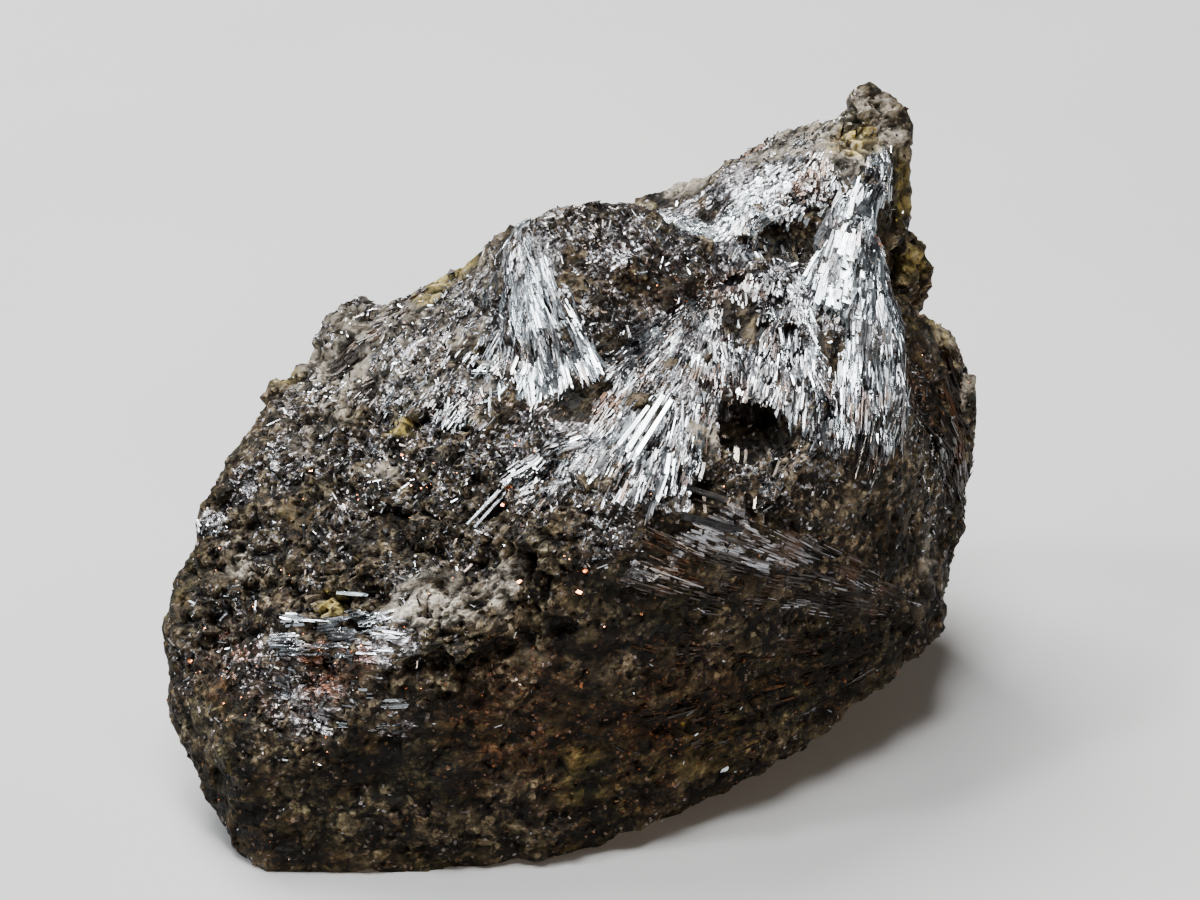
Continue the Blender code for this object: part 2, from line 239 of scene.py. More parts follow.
# Blocks, lumps and grains: how far apart they are, how tipped, how high, how deeply cleft, and a seed.
FACE_CROWDS = [(3.6, 0.20, 0.38, 0.65, 10), (1.9, 0.24, 0.24, 0.30, 11), (1.0, 0.30, 0.12, 0.05, 12)]
RIB_WIDTH, RIB_HEIGHT = 1.3, 0.16
GRIT_HEIGHT = 0.025
RELIEF_LOW, RELIEF_HIGH, FOOT_HEIGHT = -1.5, 0.9, 1.5
BARE_ROUGHNESS, SPOT_ROUGHNESS, SILVER_SMOOTHING, LEAST_ROUGHNESS = 0.42, 0.58, 0.25, 0.2
BLOCK_GAIN, BLOCK_CUT, RIB_IN_GRAIN = 1.5, 0.5, 0.7
SPOT_EDGE, PIT_EDGE, CLEFT_SHARE = 1.7, 1.25, 0.22
WANDER_GAIN, CALM_ROUNDS = 1.6, 10
WIDE_WANDER, WIDE_RAGGED = 3.2, 0.34
FINE_WANDER, FINE_RAGGED = 1.1, 0.24
GRAINY_WANDER, GRAINY_START, GRAINY_MOST, GRAINY_GAIN = 6.0, 0.35, 0.8, 1.2
HOLLOW_SHADE_ROUNDS, HOLLOW_SHADE_GAIN, PIT_GAIN, BARE_LOSS = 6, 2.2, 1.2, 0.85
# The grounds below are spots of one kind on the rock, each given by its middle, radius and strength.
ROUGH_GROUND = [
    (-20, -2, 27, 8, 0.9), (-12, 2, 34, 7, 0.3), (-8, -10, 31, 6, 1), (-20, -14, 20, 8, 1),
    (-27, -8, 20, 7, 0.9), (-2, -15, 30, 6, 0.8), (17, 7, 42, 5, 1), (24.5, 17, 49, 4, 0.9),
    (30, 14, 36, 6, 0.7), (-10, -20, 22, 7, 0.9), (15, -11, 32, 5, 0.9), (-24, 8, 30, 6, 0.4),
    (-22, -19, 14, 6, 0.8), (33, 10, 27, 5, 0.6), (0, 22, 30, 10, 0.5), (-9, -15, 28, 6, 0.9),
    (-14, -12, 26, 6, 0.9), (-4, -19, 26, 4, 0.9), (-12, -6, 30, 6, 0.9), (-30, -12, 16, 5, 0.8),
]
SILVER_GROUND = [
    (9, -1, 38, 6, 1), (6, -7, 36.5, 8, 1), (1, -12, 33, 5, 1), (7, -15, 32, 4, 1),
    (12, -10, 35, 4, 0.9), (-4, 4, 42, 4, 0.9), (-3, 0, 38, 5, 0.9), (0, -4, 36.5, 4, 0.9),
    (17, -3, 37, 6, 0.9), (19, 4, 40, 4, 0.8), (22, 8, 42.5, 4, 1), (24, 2, 39, 5, 1),
    (25, -3, 34, 5, 1), (20, 14, 46, 6, 0.8), (14, 14, 44, 5, 0.9), (8, 15, 41, 4, 0.9),
    (12, -17, 29, 4, 0.5), (20, -11, 28, 6, 0.3), (-22, -18, 18, 5, 0.6), (-16, -21, 20, 4, 0.7),
    (5.2, -19.3, 26.8, 2, 0.8), (8.5, -18.4, 28.2, 2.4, 0.9), (13, -16.2, 27, 3, 0.7),
    (18, -13, 23.5, 3.5, 0.5), (24, -8.8, 18.5, 4, 0.4), (29, -5, 13.5, 4, 0.35),
    (-21, -22, 15.5, 3.5, 0.8), (-14.5, -23, 14, 3, 0.5), (-26, -18, 15, 3, 0.5), (2, -20.6, 20, 5, 0.15),
    (-12.6, 5.5, 35.4, 5.5, 0.55), (-9.2, 6.6, 37.8, 4, 0.5), (-16, 4.7, 32.9, 4.5, 0.5),
    (-18.9, 8.5, 33.3, 4, 0.4), (-6.5, 3, 36.7, 3.5, 0.5), (-22.2, 5, 29.8, 3.5, 0.35),
    (13, 8.8, 41, 2.6, 0.9), (14.3, 4.8, 40, 2.8, 0.7), (18.2, 5.9, 40.5, 3, 0.6),
]
# Pale ground: pale quartz and crust, and on the upper left a few spots painted light, lightening rock that
# turns away from the lamps.
PALE_AND_LIT_GROUND = [
    (-12, -19, 23.5, 3.7, 1), (-6.5, -20, 25.5, 2.5, 0.8), (-28.8, -8.5, 20, 1.8, 0.6),
    (-7.3, -1.3, 35, 2.8, 0.5), (-15.5, -7.4, 28.6, 1.8, 0.6), (24.3, 15.8, 48.6, 4.6, 0.95),
    (10, 22, 41.6, 3, 0.8), (30.5, -2, 17, 2.4, 0.5), (10.2, -11.2, 34.8, 2.2, 0.4),
    (-22.9, 6.2, 30.3, 1.5, 0.7), (-14, 6, 34.5, 8, 0.38), (-20, 7.5, 31.8, 6, 0.45),
    (-19.5, 9.5, 33.8, 3.2, 0.55), (-8.5, 8, 39, 4, 0.25), (-22, 1, 28.6, 4, 0.3), (18, 20, 46, 5, 0.5),
    (-24, 12, 29, 3, 0.4), (0, 26, 20, 6, 0.3), (31, 13, 31, 3, 0.5), (34, 11, 26.6, 3, 0.5),
    (18.8, 17, 47, 3.6, 0.7), (25.6, 18, 50.6, 3, 0.45), (-9.4, -21, 23.4, 2.2, 0.6),
]
YELLOW_GROUND = [
    (-15.2, -2.1, 30.3, 1.7, 0.9), (-20.2, -15.8, 21.2, 1.8, 0.7), (-12.3, 10.7, 36.8, 2.4, 0.8),
    (-25.1, 8.2, 29.2, 1.4, 0.35), (-10.2, 11.5, 38.1, 1.8, 0.6), (24.2, 15.6, 48.8, 2.6, 1),
    (27.5, 17, 45, 2.2, 0.55), (28.4, 16, 42, 2.2, 0.55), (29.4, 15, 37, 2.2, 0.5),
    (31.9, 12.6, 32, 2.2, 0.45), (5, 24, 30, 4, 0.5), (-12, 20, 22, 4, 0.5), (20, 22, 30, 4, 0.4),
    (12, -19.5, 8, 4, 0.18), (0, -20, 8, 4, 0.16),
]
RUST_GROUND = [
    (15.2, 21.2, 44.7, 1.6, 1), (26.2, 8.5, 42.5, 2, 0.9), (26.6, 5, 39.5, 1.8, 0.7),
    (6, 4, 41.5, 4, 0.1), (-4, -20, 14, 9, 0.3), (8, -18, 12, 8, 0.3), (30, 4, 30, 5, 0.2),
    (-25, -14, 12, 7, 0.3), (-19, -20, 17, 4, 0.5), (28, 10, 25, 7, 0.2), (-5, 22, 15, 9, 0.3),
]
# Dark ground: dark brown rock, and painted shade where the front, the step below the upper slope and the
# pits lie in shade.
DARK_AND_SHADE_GROUND = [
    (17, 8.5, 42.6, 3.2, 0.8), (16, 3.5, 40, 2.6, 0.7), (15, -8, 33, 2.8, 1), (-9, -19, 16.5, 4, 0.6),
    (6, -19.5, 22, 5, 0.5), (16, -14.5, 20, 6, 0.55), (24, -10, 12, 7, 0.5),
    (30, 6, 12, 8, 0.5), (0, -21, 17, 5, 0.5), (10, -18.5, 14, 5, 0.4), (-14, -22, 8, 8, 0.35),
    (-6, -21, 4, 6, 0.4), (9, -16, 3, 5, 0.5), (-28, -12, 16, 4, 0.6), (-26, -17, 6, 6, 0.6),
    (28, -4, 20, 6, 0.3), (8.5, 2.6, 40.4, 3.6, 0.6), (4, -1, 39, 3, 0.5), (-5, -16, 28.5, 4, 0.45),
    (-14, -12, 26, 4, 0.4), (-22, -9, 23, 3.5, 0.45), (-5, 24, 12, 8, 0.5), (12, 22, 10, 8, 0.6),
    (-20, 14, 12, 7, 0.5), (25, 16, 20, 7, 0.45), (15, 23, 30, 5, 0.4), (-12, 20, 26, 5, 0.4),
    (-31.5, -8.5, 18.5, 2.4, 0.7), (-30.5, -13, 15.8, 2.6, 0.7), (-33, -11, 16, 2.4, 0.6),
    (-27.7, -6.2, 22.4, 1.8, 0.6), (9.6, 3.3, 40.5, 2.6, 0.7), (6.2, -0.8, 38.8, 2.2, 0.7),
    (12.6, 2.2, 39.6, 2.6, 0.8), (-10.5, -8.5, 30.4, 1.8, 0.85), (-12.9, -11, 28.4, 2.1, 0.8),
    (-9.8, -13.8, 28.7, 2.8, 0.8), (-27.5, -6.5, 22.8, 2, 0.8), (-24, -9, 23.2, 2, 0.7),
    (-12.9, -15.5, 26, 2.2, 0.6), (-3.3, -17.8, 27.9, 2.4, 0.7), (-15.4, -4.7, 30, 1.5, 0.8),
    (-18, -12.6, 25.4, 1.8, 0.7), (-21.4, -5.6, 27.2, 1.7, 0.7), (-23, -15.4, 19.2, 2, 0.6),
]
BARE_GROUND = [
    (2.2, -5.8, 36.5, 1.5, 1), (5, -7.4, 35.6, 1.5, 1), (7.2, -8.6, 34.8, 1.2, 0.8),
    (12.9, 0.4, 38.6, 1.3, 0.9), (17.3, 4.1, 39.3, 1.6, 0.8), (21.3, -0.4, 37.6, 1.2, 0.9),
    (0.3, -5.7, 36.2, 1.6, 0.8), (20.2, -10.4, 31.3, 2, 0.6), (10.2, -11.2, 34.8, 2, 0.9),
    (13, 1.9, 39.4, 2.4, 0.9),
]
GLITTER_GROUND = [
    (-2, 5, 45.5, 5, 0.9), (3.7, 5, 44.5, 5, 1), (9, 6, 42.6, 4, 0.9), (3, -1, 40.5, 4, 0.8),
    (8, 1, 39.5, 4, 0.6), (-12.6, 5.5, 35.4, 6, 1), (-15, 4, 33.5, 6, 0.9), (-11, -2, 33, 5, 1),
    (-19, -2.5, 28, 5, 0.7), (-9, 6, 38, 5, 0.9), (-24, -1, 27, 4, 0.6), (-22, 4, 29.5, 5, 0.6),
    (-5, -9, 33, 5, 0.8), (-9, -10, 31, 5, 0.7), (-3, -14, 30.5, 4, 0.8), (3, -18, 30, 4, 0.6),
    (-22, -20, 15, 4, 0.7), (-27, -16, 16, 4, 0.5), (17, 5, 41, 5, 0.9), (20, -9, 32, 4, 0.7),
    (15, -12, 32, 4, 0.6), (18, 18, 46, 7, 0.8), (29, 3, 28, 6, 0.25), (0, 20, 38, 9, 0.5),
    (-16, 12, 33, 7, 0.6), (-20, -10, 24, 5, 0.5), (-10, -15, 28, 5, 0.5), (-27, -8, 22, 4, 0.4),
    (-15, -6, 30, 6, 0.55), (-14, -17, 25, 4, 0.45), (-30, -12, 17, 4, 0.35), (31, 0, 20, 5, 0.2),
    (24, 4, 40, 5, 0.4), (-31.2, -3.9, 22.3, 2, 0.9), (-28.4, -2.3, 24.7, 2, 0.9),
    (-33, -13, 14, 2.5, 0.4),
]
# The sprays that the rock's own grain follows: where each grew from, its middle, and its radius.
GROWTH = [
    ((12.6, 6, 40), (5, -9, 35), 10), ((-4.4, 9.5, 45.2), (-2, 0, 38), 6.5),
    ((-4.4, 9.5, 45.2), (-12, 1, 34), 8), ((24.8, 12.4, 46), (23.5, 0, 37), 7),
    ((18.6, 10, 43), (17.5, -3, 37), 6), ((22, 17.5, 48), (15, 13, 43), 8), ((4, -8, 36), (-6, -13, 30), 7),
    ((32, -1.2, 11), (18, -13, 20), 14), ((32, -1.2, 11), (2, -20, 14), 12),
    ((-60, -6, 16), (-18, -20, 18), 9), ((-50, 12, 30), (-27, -8, 18), 9),
    ((40, -16, 2), (-14, -23, 6), 12), ((-6, 12, 54), (-18, 4, 31), 8), ((22, 10, 60), (31, 6, 26), 12),
    ((-7, 12, 48), (4, 3, 42), 6), ((2, 20, 36), (-8, 21, 18), 12), ((24, 19, 46), (18, 22, 28), 12),
    ((-6, 14, 40), (-26, 8, 22), 9), ((34, 8, 12), (32, 10, 20), 9),
]
GROWTH_SQUEEZE, GROWTH_RAGGED, GROWTH_APART = 0.12, 0.12, 37.0
BROAD_WAVE, FINE_WAVE, FINE_WAVE_SHARE = 0.7, 2.0, 0.6
# The pits and cavities: the middle, radius and depth of each.
CARVED = [
    (14.2, -8.4, 33.6, 3, 3.4), (16.4, -8.9, 33.1, 2, 2.2), (13.4, -10.4, 32.7, 2.6, 3),
    (10.4, -16, 31.8, 1.3, 2), (17.8, 0.3, 38, 1.3, 1.6), (15.9, 1, 38.4, 1, 1),
    (-13, -22.4, 19, 1.3, 1.2), (-11.2, -22.3, 19.2, 1.4, 1.3), (-9.4, -21.9, 19.4, 1.4, 1.2),
    (-7.6, -21.6, 19.8, 1.3, 1.1), (-5.8, -21.3, 20.3, 1.3, 1), (-4, -20.9, 20.8, 1.2, 0.8),
    (-27.2, -14, 12.4, 2.2, 1.6), (17, 8.4, 42.8, 2.2, 1.3), (19.6, 8.2, 42.2, 1.6, 1),
    (-7, -13.6, 29.4, 1.7, 1.4), (23.2, -3.7, 34.9, 0.9, 1.1), (-1.5, -19.6, 22, 2.2, 1),
    (13.5, 5.6, 39.8, 1.4, 0.9),
]


def read_points(mesh):
    """A mesh's corners, in millimetres."""
    flat = np.empty(len(mesh.vertices) * 3)
    mesh.vertices.foreach_get("co", flat)
    return flat.reshape(-1, 3) / MM


def unit(vectors):
    """Each vector made one long."""
    return vectors / np.maximum(np.linalg.norm(vectors, axis=-1, keepdims=True), 1e-9)


def dots(first, second):
    """How far each vector reaches along its partner, as a column."""
    return np.einsum("ij,ij->i", first, second)[:, None]


def laid_square(vectors, axes):
    """Each vector turned the least that brings it square to its axis, and made one long."""
    return unit(vectors - axes * dots(vectors, axes))


def wander(points, size, seed):
    """A smooth value from about -1 to 1 that wanders over the given distance."""
    shift = Vector((seed * 17.3, seed * 9.1, seed * 4.7))
    return np.array([noise.noise(Vector(p) / size + shift) for p in points]) * WANDER_GAIN


def nearness(points, spots, seed):
    """How far each point belongs to one of the spots: all at its middle, none past its rim."""
    share = np.zeros(len(points))
    ragged = wander(points, WIDE_WANDER, seed) * WIDE_RAGGED
    ragged += wander(points, FINE_WANDER, seed + 20) * FINE_RAGGED
    for x, y, z, radius, strength in spots:
        far = np.linalg.norm(points - (x, y, z), axis=1) / radius + ragged
        share = np.maximum(share, strength * np.clip(SPOT_EDGE - SPOT_EDGE * far, 0, 1))
    return share


def growth_run(points):
    """Where each point lies in the spray it grew with: true across the rays, shortened along them."""
    dice = np.random.default_rng(14)
    run = np.zeros_like(points)
    nearest = np.full(len(points), np.inf)
    for number, (root, middle, radius) in enumerate(GROWTH):
        ragged = np.sin(points @ dice.normal(0, BROAD_WAVE, 3) + number)
        ragged += np.sin(points @ dice.normal(0, FINE_WAVE, 3)) * FINE_WAVE_SHARE
        near = np.linalg.norm(points - middle, axis=1) / radius + GROWTH_RAGGED * ragged
        away = points - root
        far = np.linalg.norm(away, axis=1)
        span = np.linalg.norm(np.subtract(root, middle))
        squeezed = away * ((span + far * GROWTH_SQUEEZE) / np.maximum(far, 0.5))[:, None]
        run[near < nearest] = (squeezed + number * GROWTH_APART)[near < nearest]
        nearest = np.minimum(nearest, near)
    return run


def neighbour_mean(values, pairs, rounds):
    """Values evened out along the mesh's edges."""
    count = np.zeros(len(values))
    np.add.at(count, pairs.ravel(), 1)
    for _ in range(rounds):
        total = np.zeros_like(values)
        np.add.at(total, pairs[:, 0], values[pairs[:, 1]])
        np.add.at(total, pairs[:, 1], values[pairs[:, 0]])
        values = (values + total) / (count + 1)[:, None]
    return values


def crystal_faces(points, spacing, tilt, height, cleft, seed):
    """The relief of a crowd of small flat faces, each tipped its own way, with clefts between."""
    dice = np.random.default_rng(seed)
    area_share = ROCK_CELL * ROCK_CELL / (spacing * spacing)
    seeds = dice.choice(len(points), max(8, int(len(points) * area_share)), replace=False)
    tree = KDTree(len(seeds))
    for index, seed_point in enumerate(points[seeds]):
        tree.insert(seed_point, index)
    tree.balance()
    nearest = [tree.find_n(point, 2) for point in points]
    owner = np.array([pair[0][1] for pair in nearest])
    gap = np.array([pair[1][2] - pair[0][2] for pair in nearest])
    lean = dice.normal(0, tilt, (len(seeds), 3))
    lift = dice.uniform(-1, 1, len(seeds)) * height
    relief = dots(points - points[seeds][owner], lean[owner])[:, 0] + lift[owner]
    return relief - cleft * np.clip(1 - gap / (CLEFT_SHARE * spacing), 0, 1)


def carved_depth(points, margin):
    """How deep the open pits and cavities go at each point."""
    depth = np.zeros(len(points))
    for x, y, z, radius, deep in CARVED:
        far = np.linalg.norm(points - (x, y, z), axis=1) / (radius * margin)
        depth = np.maximum(depth, deep * np.clip(PIT_EDGE - PIT_EDGE * far * far, 0, 1))
    return depth


cad_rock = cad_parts["stibnite_mass"]
raw_mesh = cad_rock.data.copy()
raw_mesh.materials.clear()
rock = placed("stibnite_rock", raw_mesh)
finer = rock.modifiers.new("finer", "REMESH")
finer.mode = "VOXEL"
finer.voxel_size = ROCK_CELL * MM
depsgraph = bpy.context.evaluated_depsgraph_get()
rock_mesh = bpy.data.meshes.new_from_object(rock.evaluated_get(depsgraph))
rock.modifiers.clear()
rock.data = rock_mesh
rock_mesh.name = "stibnite_rock"

rock_pairs = np.empty(len(rock_mesh.edges) * 2, dtype=np.int64)
rock_mesh.edges.foreach_get("vertices", rock_pairs)
rock_pairs = rock_pairs.reshape(-1, 2)
rock_points = read_points(rock_mesh)
rock_normals = np.empty(len(rock_points) * 3)
rock_mesh.vertices.foreach_get("normal", rock_normals)
rock_calm = unit(neighbour_mean(rock_normals.reshape(-1, 3), rock_pairs, CALM_ROUNDS))
box_low = np.array(cad_low) / MM
box_high = np.array(cad_high) / MM

silver_share = nearness(rock_points, SILVER_GROUND, 1)
rough_spots = nearness(rock_points, ROUGH_GROUND, 10)
rough_share = BARE_ROUGHNESS + SPOT_ROUGHNESS * rough_spots - SILVER_SMOOTHING * silver_share
rough_share = np.clip(rough_share, LEAST_ROUGHNESS, 1)
pale_and_lit_share = nearness(rock_points, PALE_AND_LIT_GROUND, 3)
grainy_patches = np.clip(GRAINY_START + wander(rock_points, GRAINY_WANDER, 31), 0, GRAINY_MOST)
grainy_share = np.clip(rough_spots * GRAINY_GAIN + pale_and_lit_share + grainy_patches, 0, 1)
rock_run = growth_run(rock_points)
relief = wander(rock_points, CREST_SIZE, 2) * CREST_HEIGHT
block_share = np.clip(rough_share * BLOCK_GAIN - BLOCK_CUT, 0, 1)
for face_crowd, share in zip(FACE_CROWDS, (block_share, rough_share, rough_share)):
    relief += crystal_faces(rock_points, *face_crowd) * share
relief += wander(rock_run, RIB_WIDTH, 14) * RIB_HEIGHT * (1 - RIB_IN_GRAIN * grainy_share)
relief += np.random.default_rng(13).normal(0, GRIT_HEIGHT, len(rock_points))
footing = np.clip(rock_points[:, 2] / FOOT_HEIGHT, 0, 1)
rock_points = rock_points + rock_calm * (np.clip(relief, RELIEF_LOW, RELIEF_HIGH) * footing)[:, None]
rock_points = np.clip(rock_points, box_low, box_high)
rock_points = rock_points - rock_calm * carved_depth(rock_points, 1.0)[:, None]
rock_mesh.vertices.foreach_set("co", (rock_points * MM).ravel())
rock_mesh.update()

# Painted shade: how deep each corner lies in a crevice, used to darken the crevices.
painted_hollow_shade = neighbour_mean(rock_points, rock_pairs, HOLLOW_SHADE_ROUNDS) - rock_points
painted_hollow_shade = dots(painted_hollow_shade, rock_calm)[:, 0]


def keep_share(mesh, name, values):
    """One number a corner, kept on the mesh for its material."""
    kept = mesh.attributes.new(name, "FLOAT", "POINT")
    kept.data.foreach_set("value", np.asarray(values, dtype=np.float32))


def keep_run(mesh, run):
    """Where each corner lies along its growth, kept on the mesh for its material."""
    kept = mesh.attributes.new("run", "FLOAT_VECTOR", "POINT")
    kept.data.foreach_set("vector", run.astype(np.float32).ravel())


keep_run(rock_mesh, rock_run)
yellow_share = nearness(rock_points, YELLOW_GROUND, 4)
rust_share = nearness(rock_points, RUST_GROUND, 5)
dark_and_shade_share = nearness(rock_points, DARK_AND_SHADE_GROUND, 6)
glint_share = nearness(rock_points, GLITTER_GROUND, 9)
# Painted shade: the pits and cavities are darkened by their depth, through the dark share below.
pit_share = np.clip(carved_depth(rock_points, 1.0) * PIT_GAIN, 0, 1)
for share_name, share in {
    "silver": silver_share * (1 - BARE_LOSS * nearness(rock_points, BARE_GROUND, 12)),
    "grainy": grainy_share, "pale": pale_and_lit_share, "yellow": yellow_share, "glitter": glint_share,
    "rust": rust_share, "dark_and_shade": np.maximum(dark_and_shade_share, pit_share),
    "painted_hollow_shade": np.clip(0.5 + painted_hollow_shade * HOLLOW_SHADE_GAIN, 0, 1),
}.items():
    keep_share(rock_mesh, share_name, share)


def carried(tree, name, kind="Fac"):
    """A number, or a place, that the mesh carries."""
    return worked_out(tree, "Attribute", kind, attribute_name=name)


def speckle(place, scale, detail, rough, twist=0.0):
    """Soft noise from 0 to 1, with its size given in cells to the metre."""
    form = {"Scale": scale, "Detail": detail, "Roughness": rough, "Distortion": twist}
    return worked_out(place.tree, "TexNoise", "Fac", {"Vector": place, **form})


def cell_pattern(place, scale):
    """A crowd of small cells: the way to the nearest middle, a random colour for each, and its parts."""
    tree = place.tree
    distance, colour = map(Value, node(tree, "TexVoronoi", {"Vector": place, "Scale": scale}).outputs[:2])
    return distance, colour, *map(Value, node(tree, "SeparateColor", {"Color": colour}).outputs)


def faceted_normal(cells, tilt):
    """The skin's direction, tipped a little differently in each tiny crystal face."""
    tree = cells.tree
    lean = worked_out(tree, "VectorMath", "Vector", {0: cells, 1: (0.5, 0.5, 0.5)}, operation="SUBTRACT")
    lean = worked_out(tree, "VectorMath", "Vector", {0: lean, "Scale": tilt}, operation="SCALE")
    tipped = node(tree, "VectorMath", {0: lean}, operation="ADD")
    feed(tipped, {1: worked_out(tree, "NewGeometry", "Normal")})
    tipped = {0: Value(tipped.outputs["Vector"])}
    return worked_out(tree, "VectorMath", "Vector", tipped, operation="NORMALIZE")


def fix_to_rock(piece):
    """The piece is fused to the lump, and stands for its surface."""
    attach(piece, "root")
    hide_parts("stibnite_mass")


def finish(shader, relief, sockets):
    """Gives a material's shader its fine relief, and its colour and sheen."""
    bump = worked_out(shader.id_data, "Bump", "Normal", relief)
    feed(shader, {"Normal": bump, **sockets})


PATCH_CELLS, BROAD_CELLS, GRAIN_CELLS, GLINT_CELLS = 430.0, 240.0, 1700.0, 3700.0
MIDDLE_GROWTH, MIDDLE_CELLS, FINE_GROWTH, FINE_CELLS = 0.9, 800.0, 4.0, 2600.0
BUNDLE_GROWTH, STREAK_GROWTH, LATH_GROWTH = 0.75, 7.0, 3.6
GLINT_SHARE, ROCK_SHINE, ROCK_BUMP, ROCK_BUMP_DEPTH = 0.040, 0.10, 0.7, 0.00022


def rock_material():
    """Brown, olive and black rock with the metal grown through it as rays of laths and as tiny plates; part
    of the black is painted shade in its pits, crevices, pockets and shaded parts.
    """
    material, tree, shader = new_material("stibnite_rock")
    place = worked_out(tree, "TexCoord", "Object")
    run = carried(tree, "run", "Vector")
    grainy = carried(tree, "grainy")
    dark_and_shade = carried(tree, "dark_and_shade")

    def both_ways(along_scale, grain_scale, detail):
        """Noise that is streaked along the growth, or even all round where the rock is granular."""
        streaked = speckle(run, along_scale, detail, 0.6, 0.2)
        even = speckle(place, grain_scale, detail, 0.65, 0.4)
        streaked = streaked * (1.0 - grainy)
        return even * grainy + streaked

    broad = speckle(place, BROAD_CELLS, 5.0, 0.6, 0.4)
    middle = both_ways(MIDDLE_GROWTH, MIDDLE_CELLS, 5.0)
    fine = both_ways(FINE_GROWTH, FINE_CELLS, 3.0)
    bundle = speckle(run, BUNDLE_GROWTH, 3.0, 0.55)
    streak = speckle(run, STREAK_GROWTH, 2.0, 0.6)
    grain_gap, _, grain_red, _, _ = cell_pattern(place, GRAIN_CELLS)
    _, cell_colour, cell_red, cell_green, cell_blue = cell_pattern(place, GLINT_CELLS)
    _, lath_colour, lath_red, lath_green, _ = cell_pattern(run, LATH_GROWTH)
    grain_part = grain_red * grainy.spread(0.0, 1.0, 0.45, 1.0)
    mottle = middle * 2.0 + grain_part + cell_blue * 0.42 + fine * 0.9
    mottle = mottle.spread(1.40, 2.78)
    umber = mottle.steps(shades(
        (0, 6, 5, 3), (0.28, 17, 13, 8), (0.48, 36, 27, 16), (0.68, 64, 50, 30), (0.86, 100, 83, 54),
        (1, 142, 124, 90),
    ))
    olive = mottle.steps(shades((0, 8, 8, 5), (0.3, 24, 22, 13), (0.6, 58, 52, 32), (1, 126, 118, 84)))
    ashen = mottle.steps(shades(
        (0, 9, 8, 7), (0.3, 26, 21, 17), (0.55, 52, 44, 35), (0.8, 92, 82, 68), (1, 136, 126, 108),
    ))
    # The brown ground, and the crusts and rust on it.
    base = broad.spread(0.45, 0.60).mix(umber, olive)
    upper = carried(tree, "silver") + carried(tree, "glitter") + grainy * 0.45
    base = upper.spread(0.0, 0.6, 0.0, 0.80).mix(base, ashen)
    rust = carried(tree, "rust") * fine.spread(0.40, 0.62)
    base = rust.mix(base, middle.steps(shades((0.35, 46, 28, 18), (0.7, 128, 80, 44))))
    # Pale crust and quartz, and painted light on the upper left.
    pale = carried(tree, "pale") * middle.spread(0.34, 0.56, 0.1, 1.0)
    base = pale.mix(base, fine.steps(shades((0.3, 118, 110, 98), (0.7, 214, 206, 192))))
    yellow = carried(tree, "yellow") * middle.spread(0.36, 0.56, 0.0, 0.85)
    base = yellow.mix(base, fine.steps(shades((0.3, 128, 112, 58), (0.7, 208, 188, 108))))
    # Pale patches, near-black pockets painted as shade, the dark ground with its painted shade, and the
    # painted shade of the pits and crevices.
    patch = speckle(place, PATCH_CELLS, 3.0, 0.55, 0.5)
    blotch = patch.spread(0.46, 0.36, 0.0, 0.55) * upper.spread(0.0, 0.5, 0.6, 1.0)
    blotch = blotch * middle.spread(0.40, 0.56, 0.2, 1.0)
    base = blotch.mix(base, upper.mix(linear(80, 68, 40), linear(116, 106, 92)))
    # Painted shade: near-black pockets placed by noise.
    shade_pocket = patch.spread(0.52, 0.62, 0.0, 0.88)
    base = shade_pocket.mix(base, linear(9, 8, 6))
    # Painted shade: the dark ground and the pits darkened towards black.
    base = (dark_and_shade * 0.8).mix(base, linear(12, 10, 9))
    # Painted shade: the crevices darkened towards black.
    base = carried(tree, "painted_hollow_shade").spread(0.45, 0.8, 0.0, 0.75).mix(base, linear(9, 8, 7))

    # The metal: long laths along the growth, and small plates in the granular parts.
    crust = pale + yellow
    cover = carried(tree, "silver").spread(0.0, 1.0, -0.55, 1.05) + bundle * 0.9 - (crust + 0.45)
    in_laths = (lath_red + cover).spread(0.95, 1.03)
    share = carried(tree, "glitter") * middle.spread(0.34, 0.58, 0.25, 1.05)
    share = share * (1.0 - shade_pocket) + GLINT_SHARE - crust
    share = share * dark_and_shade.spread(0.0, 1.0, 1.0, 0.25)
    in_plates = (cell_red + share).spread(0.97, 1.03)
    metal = calc(tree, "MAXIMUM", in_laths, in_plates)
    shine = lath_green * 0.42 + cell_green * 0.40 + bundle.spread(0.3, 0.7, -0.14, 0.34) - dark_and_shade * 0.25
    grey = shine.steps(shades(
        (0, 34, 31, 30), (0.25, 72, 69, 69), (0.5, 122, 120, 122), (0.8, 194, 195, 201),
        (1, 232, 234, 240),
    ))
    grey = upper.spread(0.05, 0.6, 0.75, 0.0).mix(grey, linear(104, 80, 52))
    grey = (carried(tree, "rust") * 0.8).mix(grey, linear(196, 110, 58))
    grey = streak.spread(0.36, 0.58, 0.6, 0.0).mix(grey, linear(44, 38, 34))
    base = metal.mix(base, grey)
    # The sheen and the fine relief.
    dull = fine.spread(0.3, 0.7, 0.42, 0.70) * metal.spread(0.0, 1.0, 1.0, 0.5)
    height = fine + grain_gap * grainy + middle * 1.4 + streak * 0.8
    lean = (in_laths * 0.55).mix(cell_colour, lath_colour)
    facets = faceted_normal(lean, metal.spread(0.0, 1.0, 0.35, 0.78))
    relief = {"Strength": ROCK_BUMP, "Distance": ROCK_BUMP_DEPTH, "Height": height, "Normal": facets}
    finish(shader, relief, {
        "Base Color": base, "Metallic": metal, "Roughness": dull, "Specular IOR Level": ROCK_SHINE,
    })
    return material


rock_mesh.materials.append(rock_material())
fix_to_rock(rock)

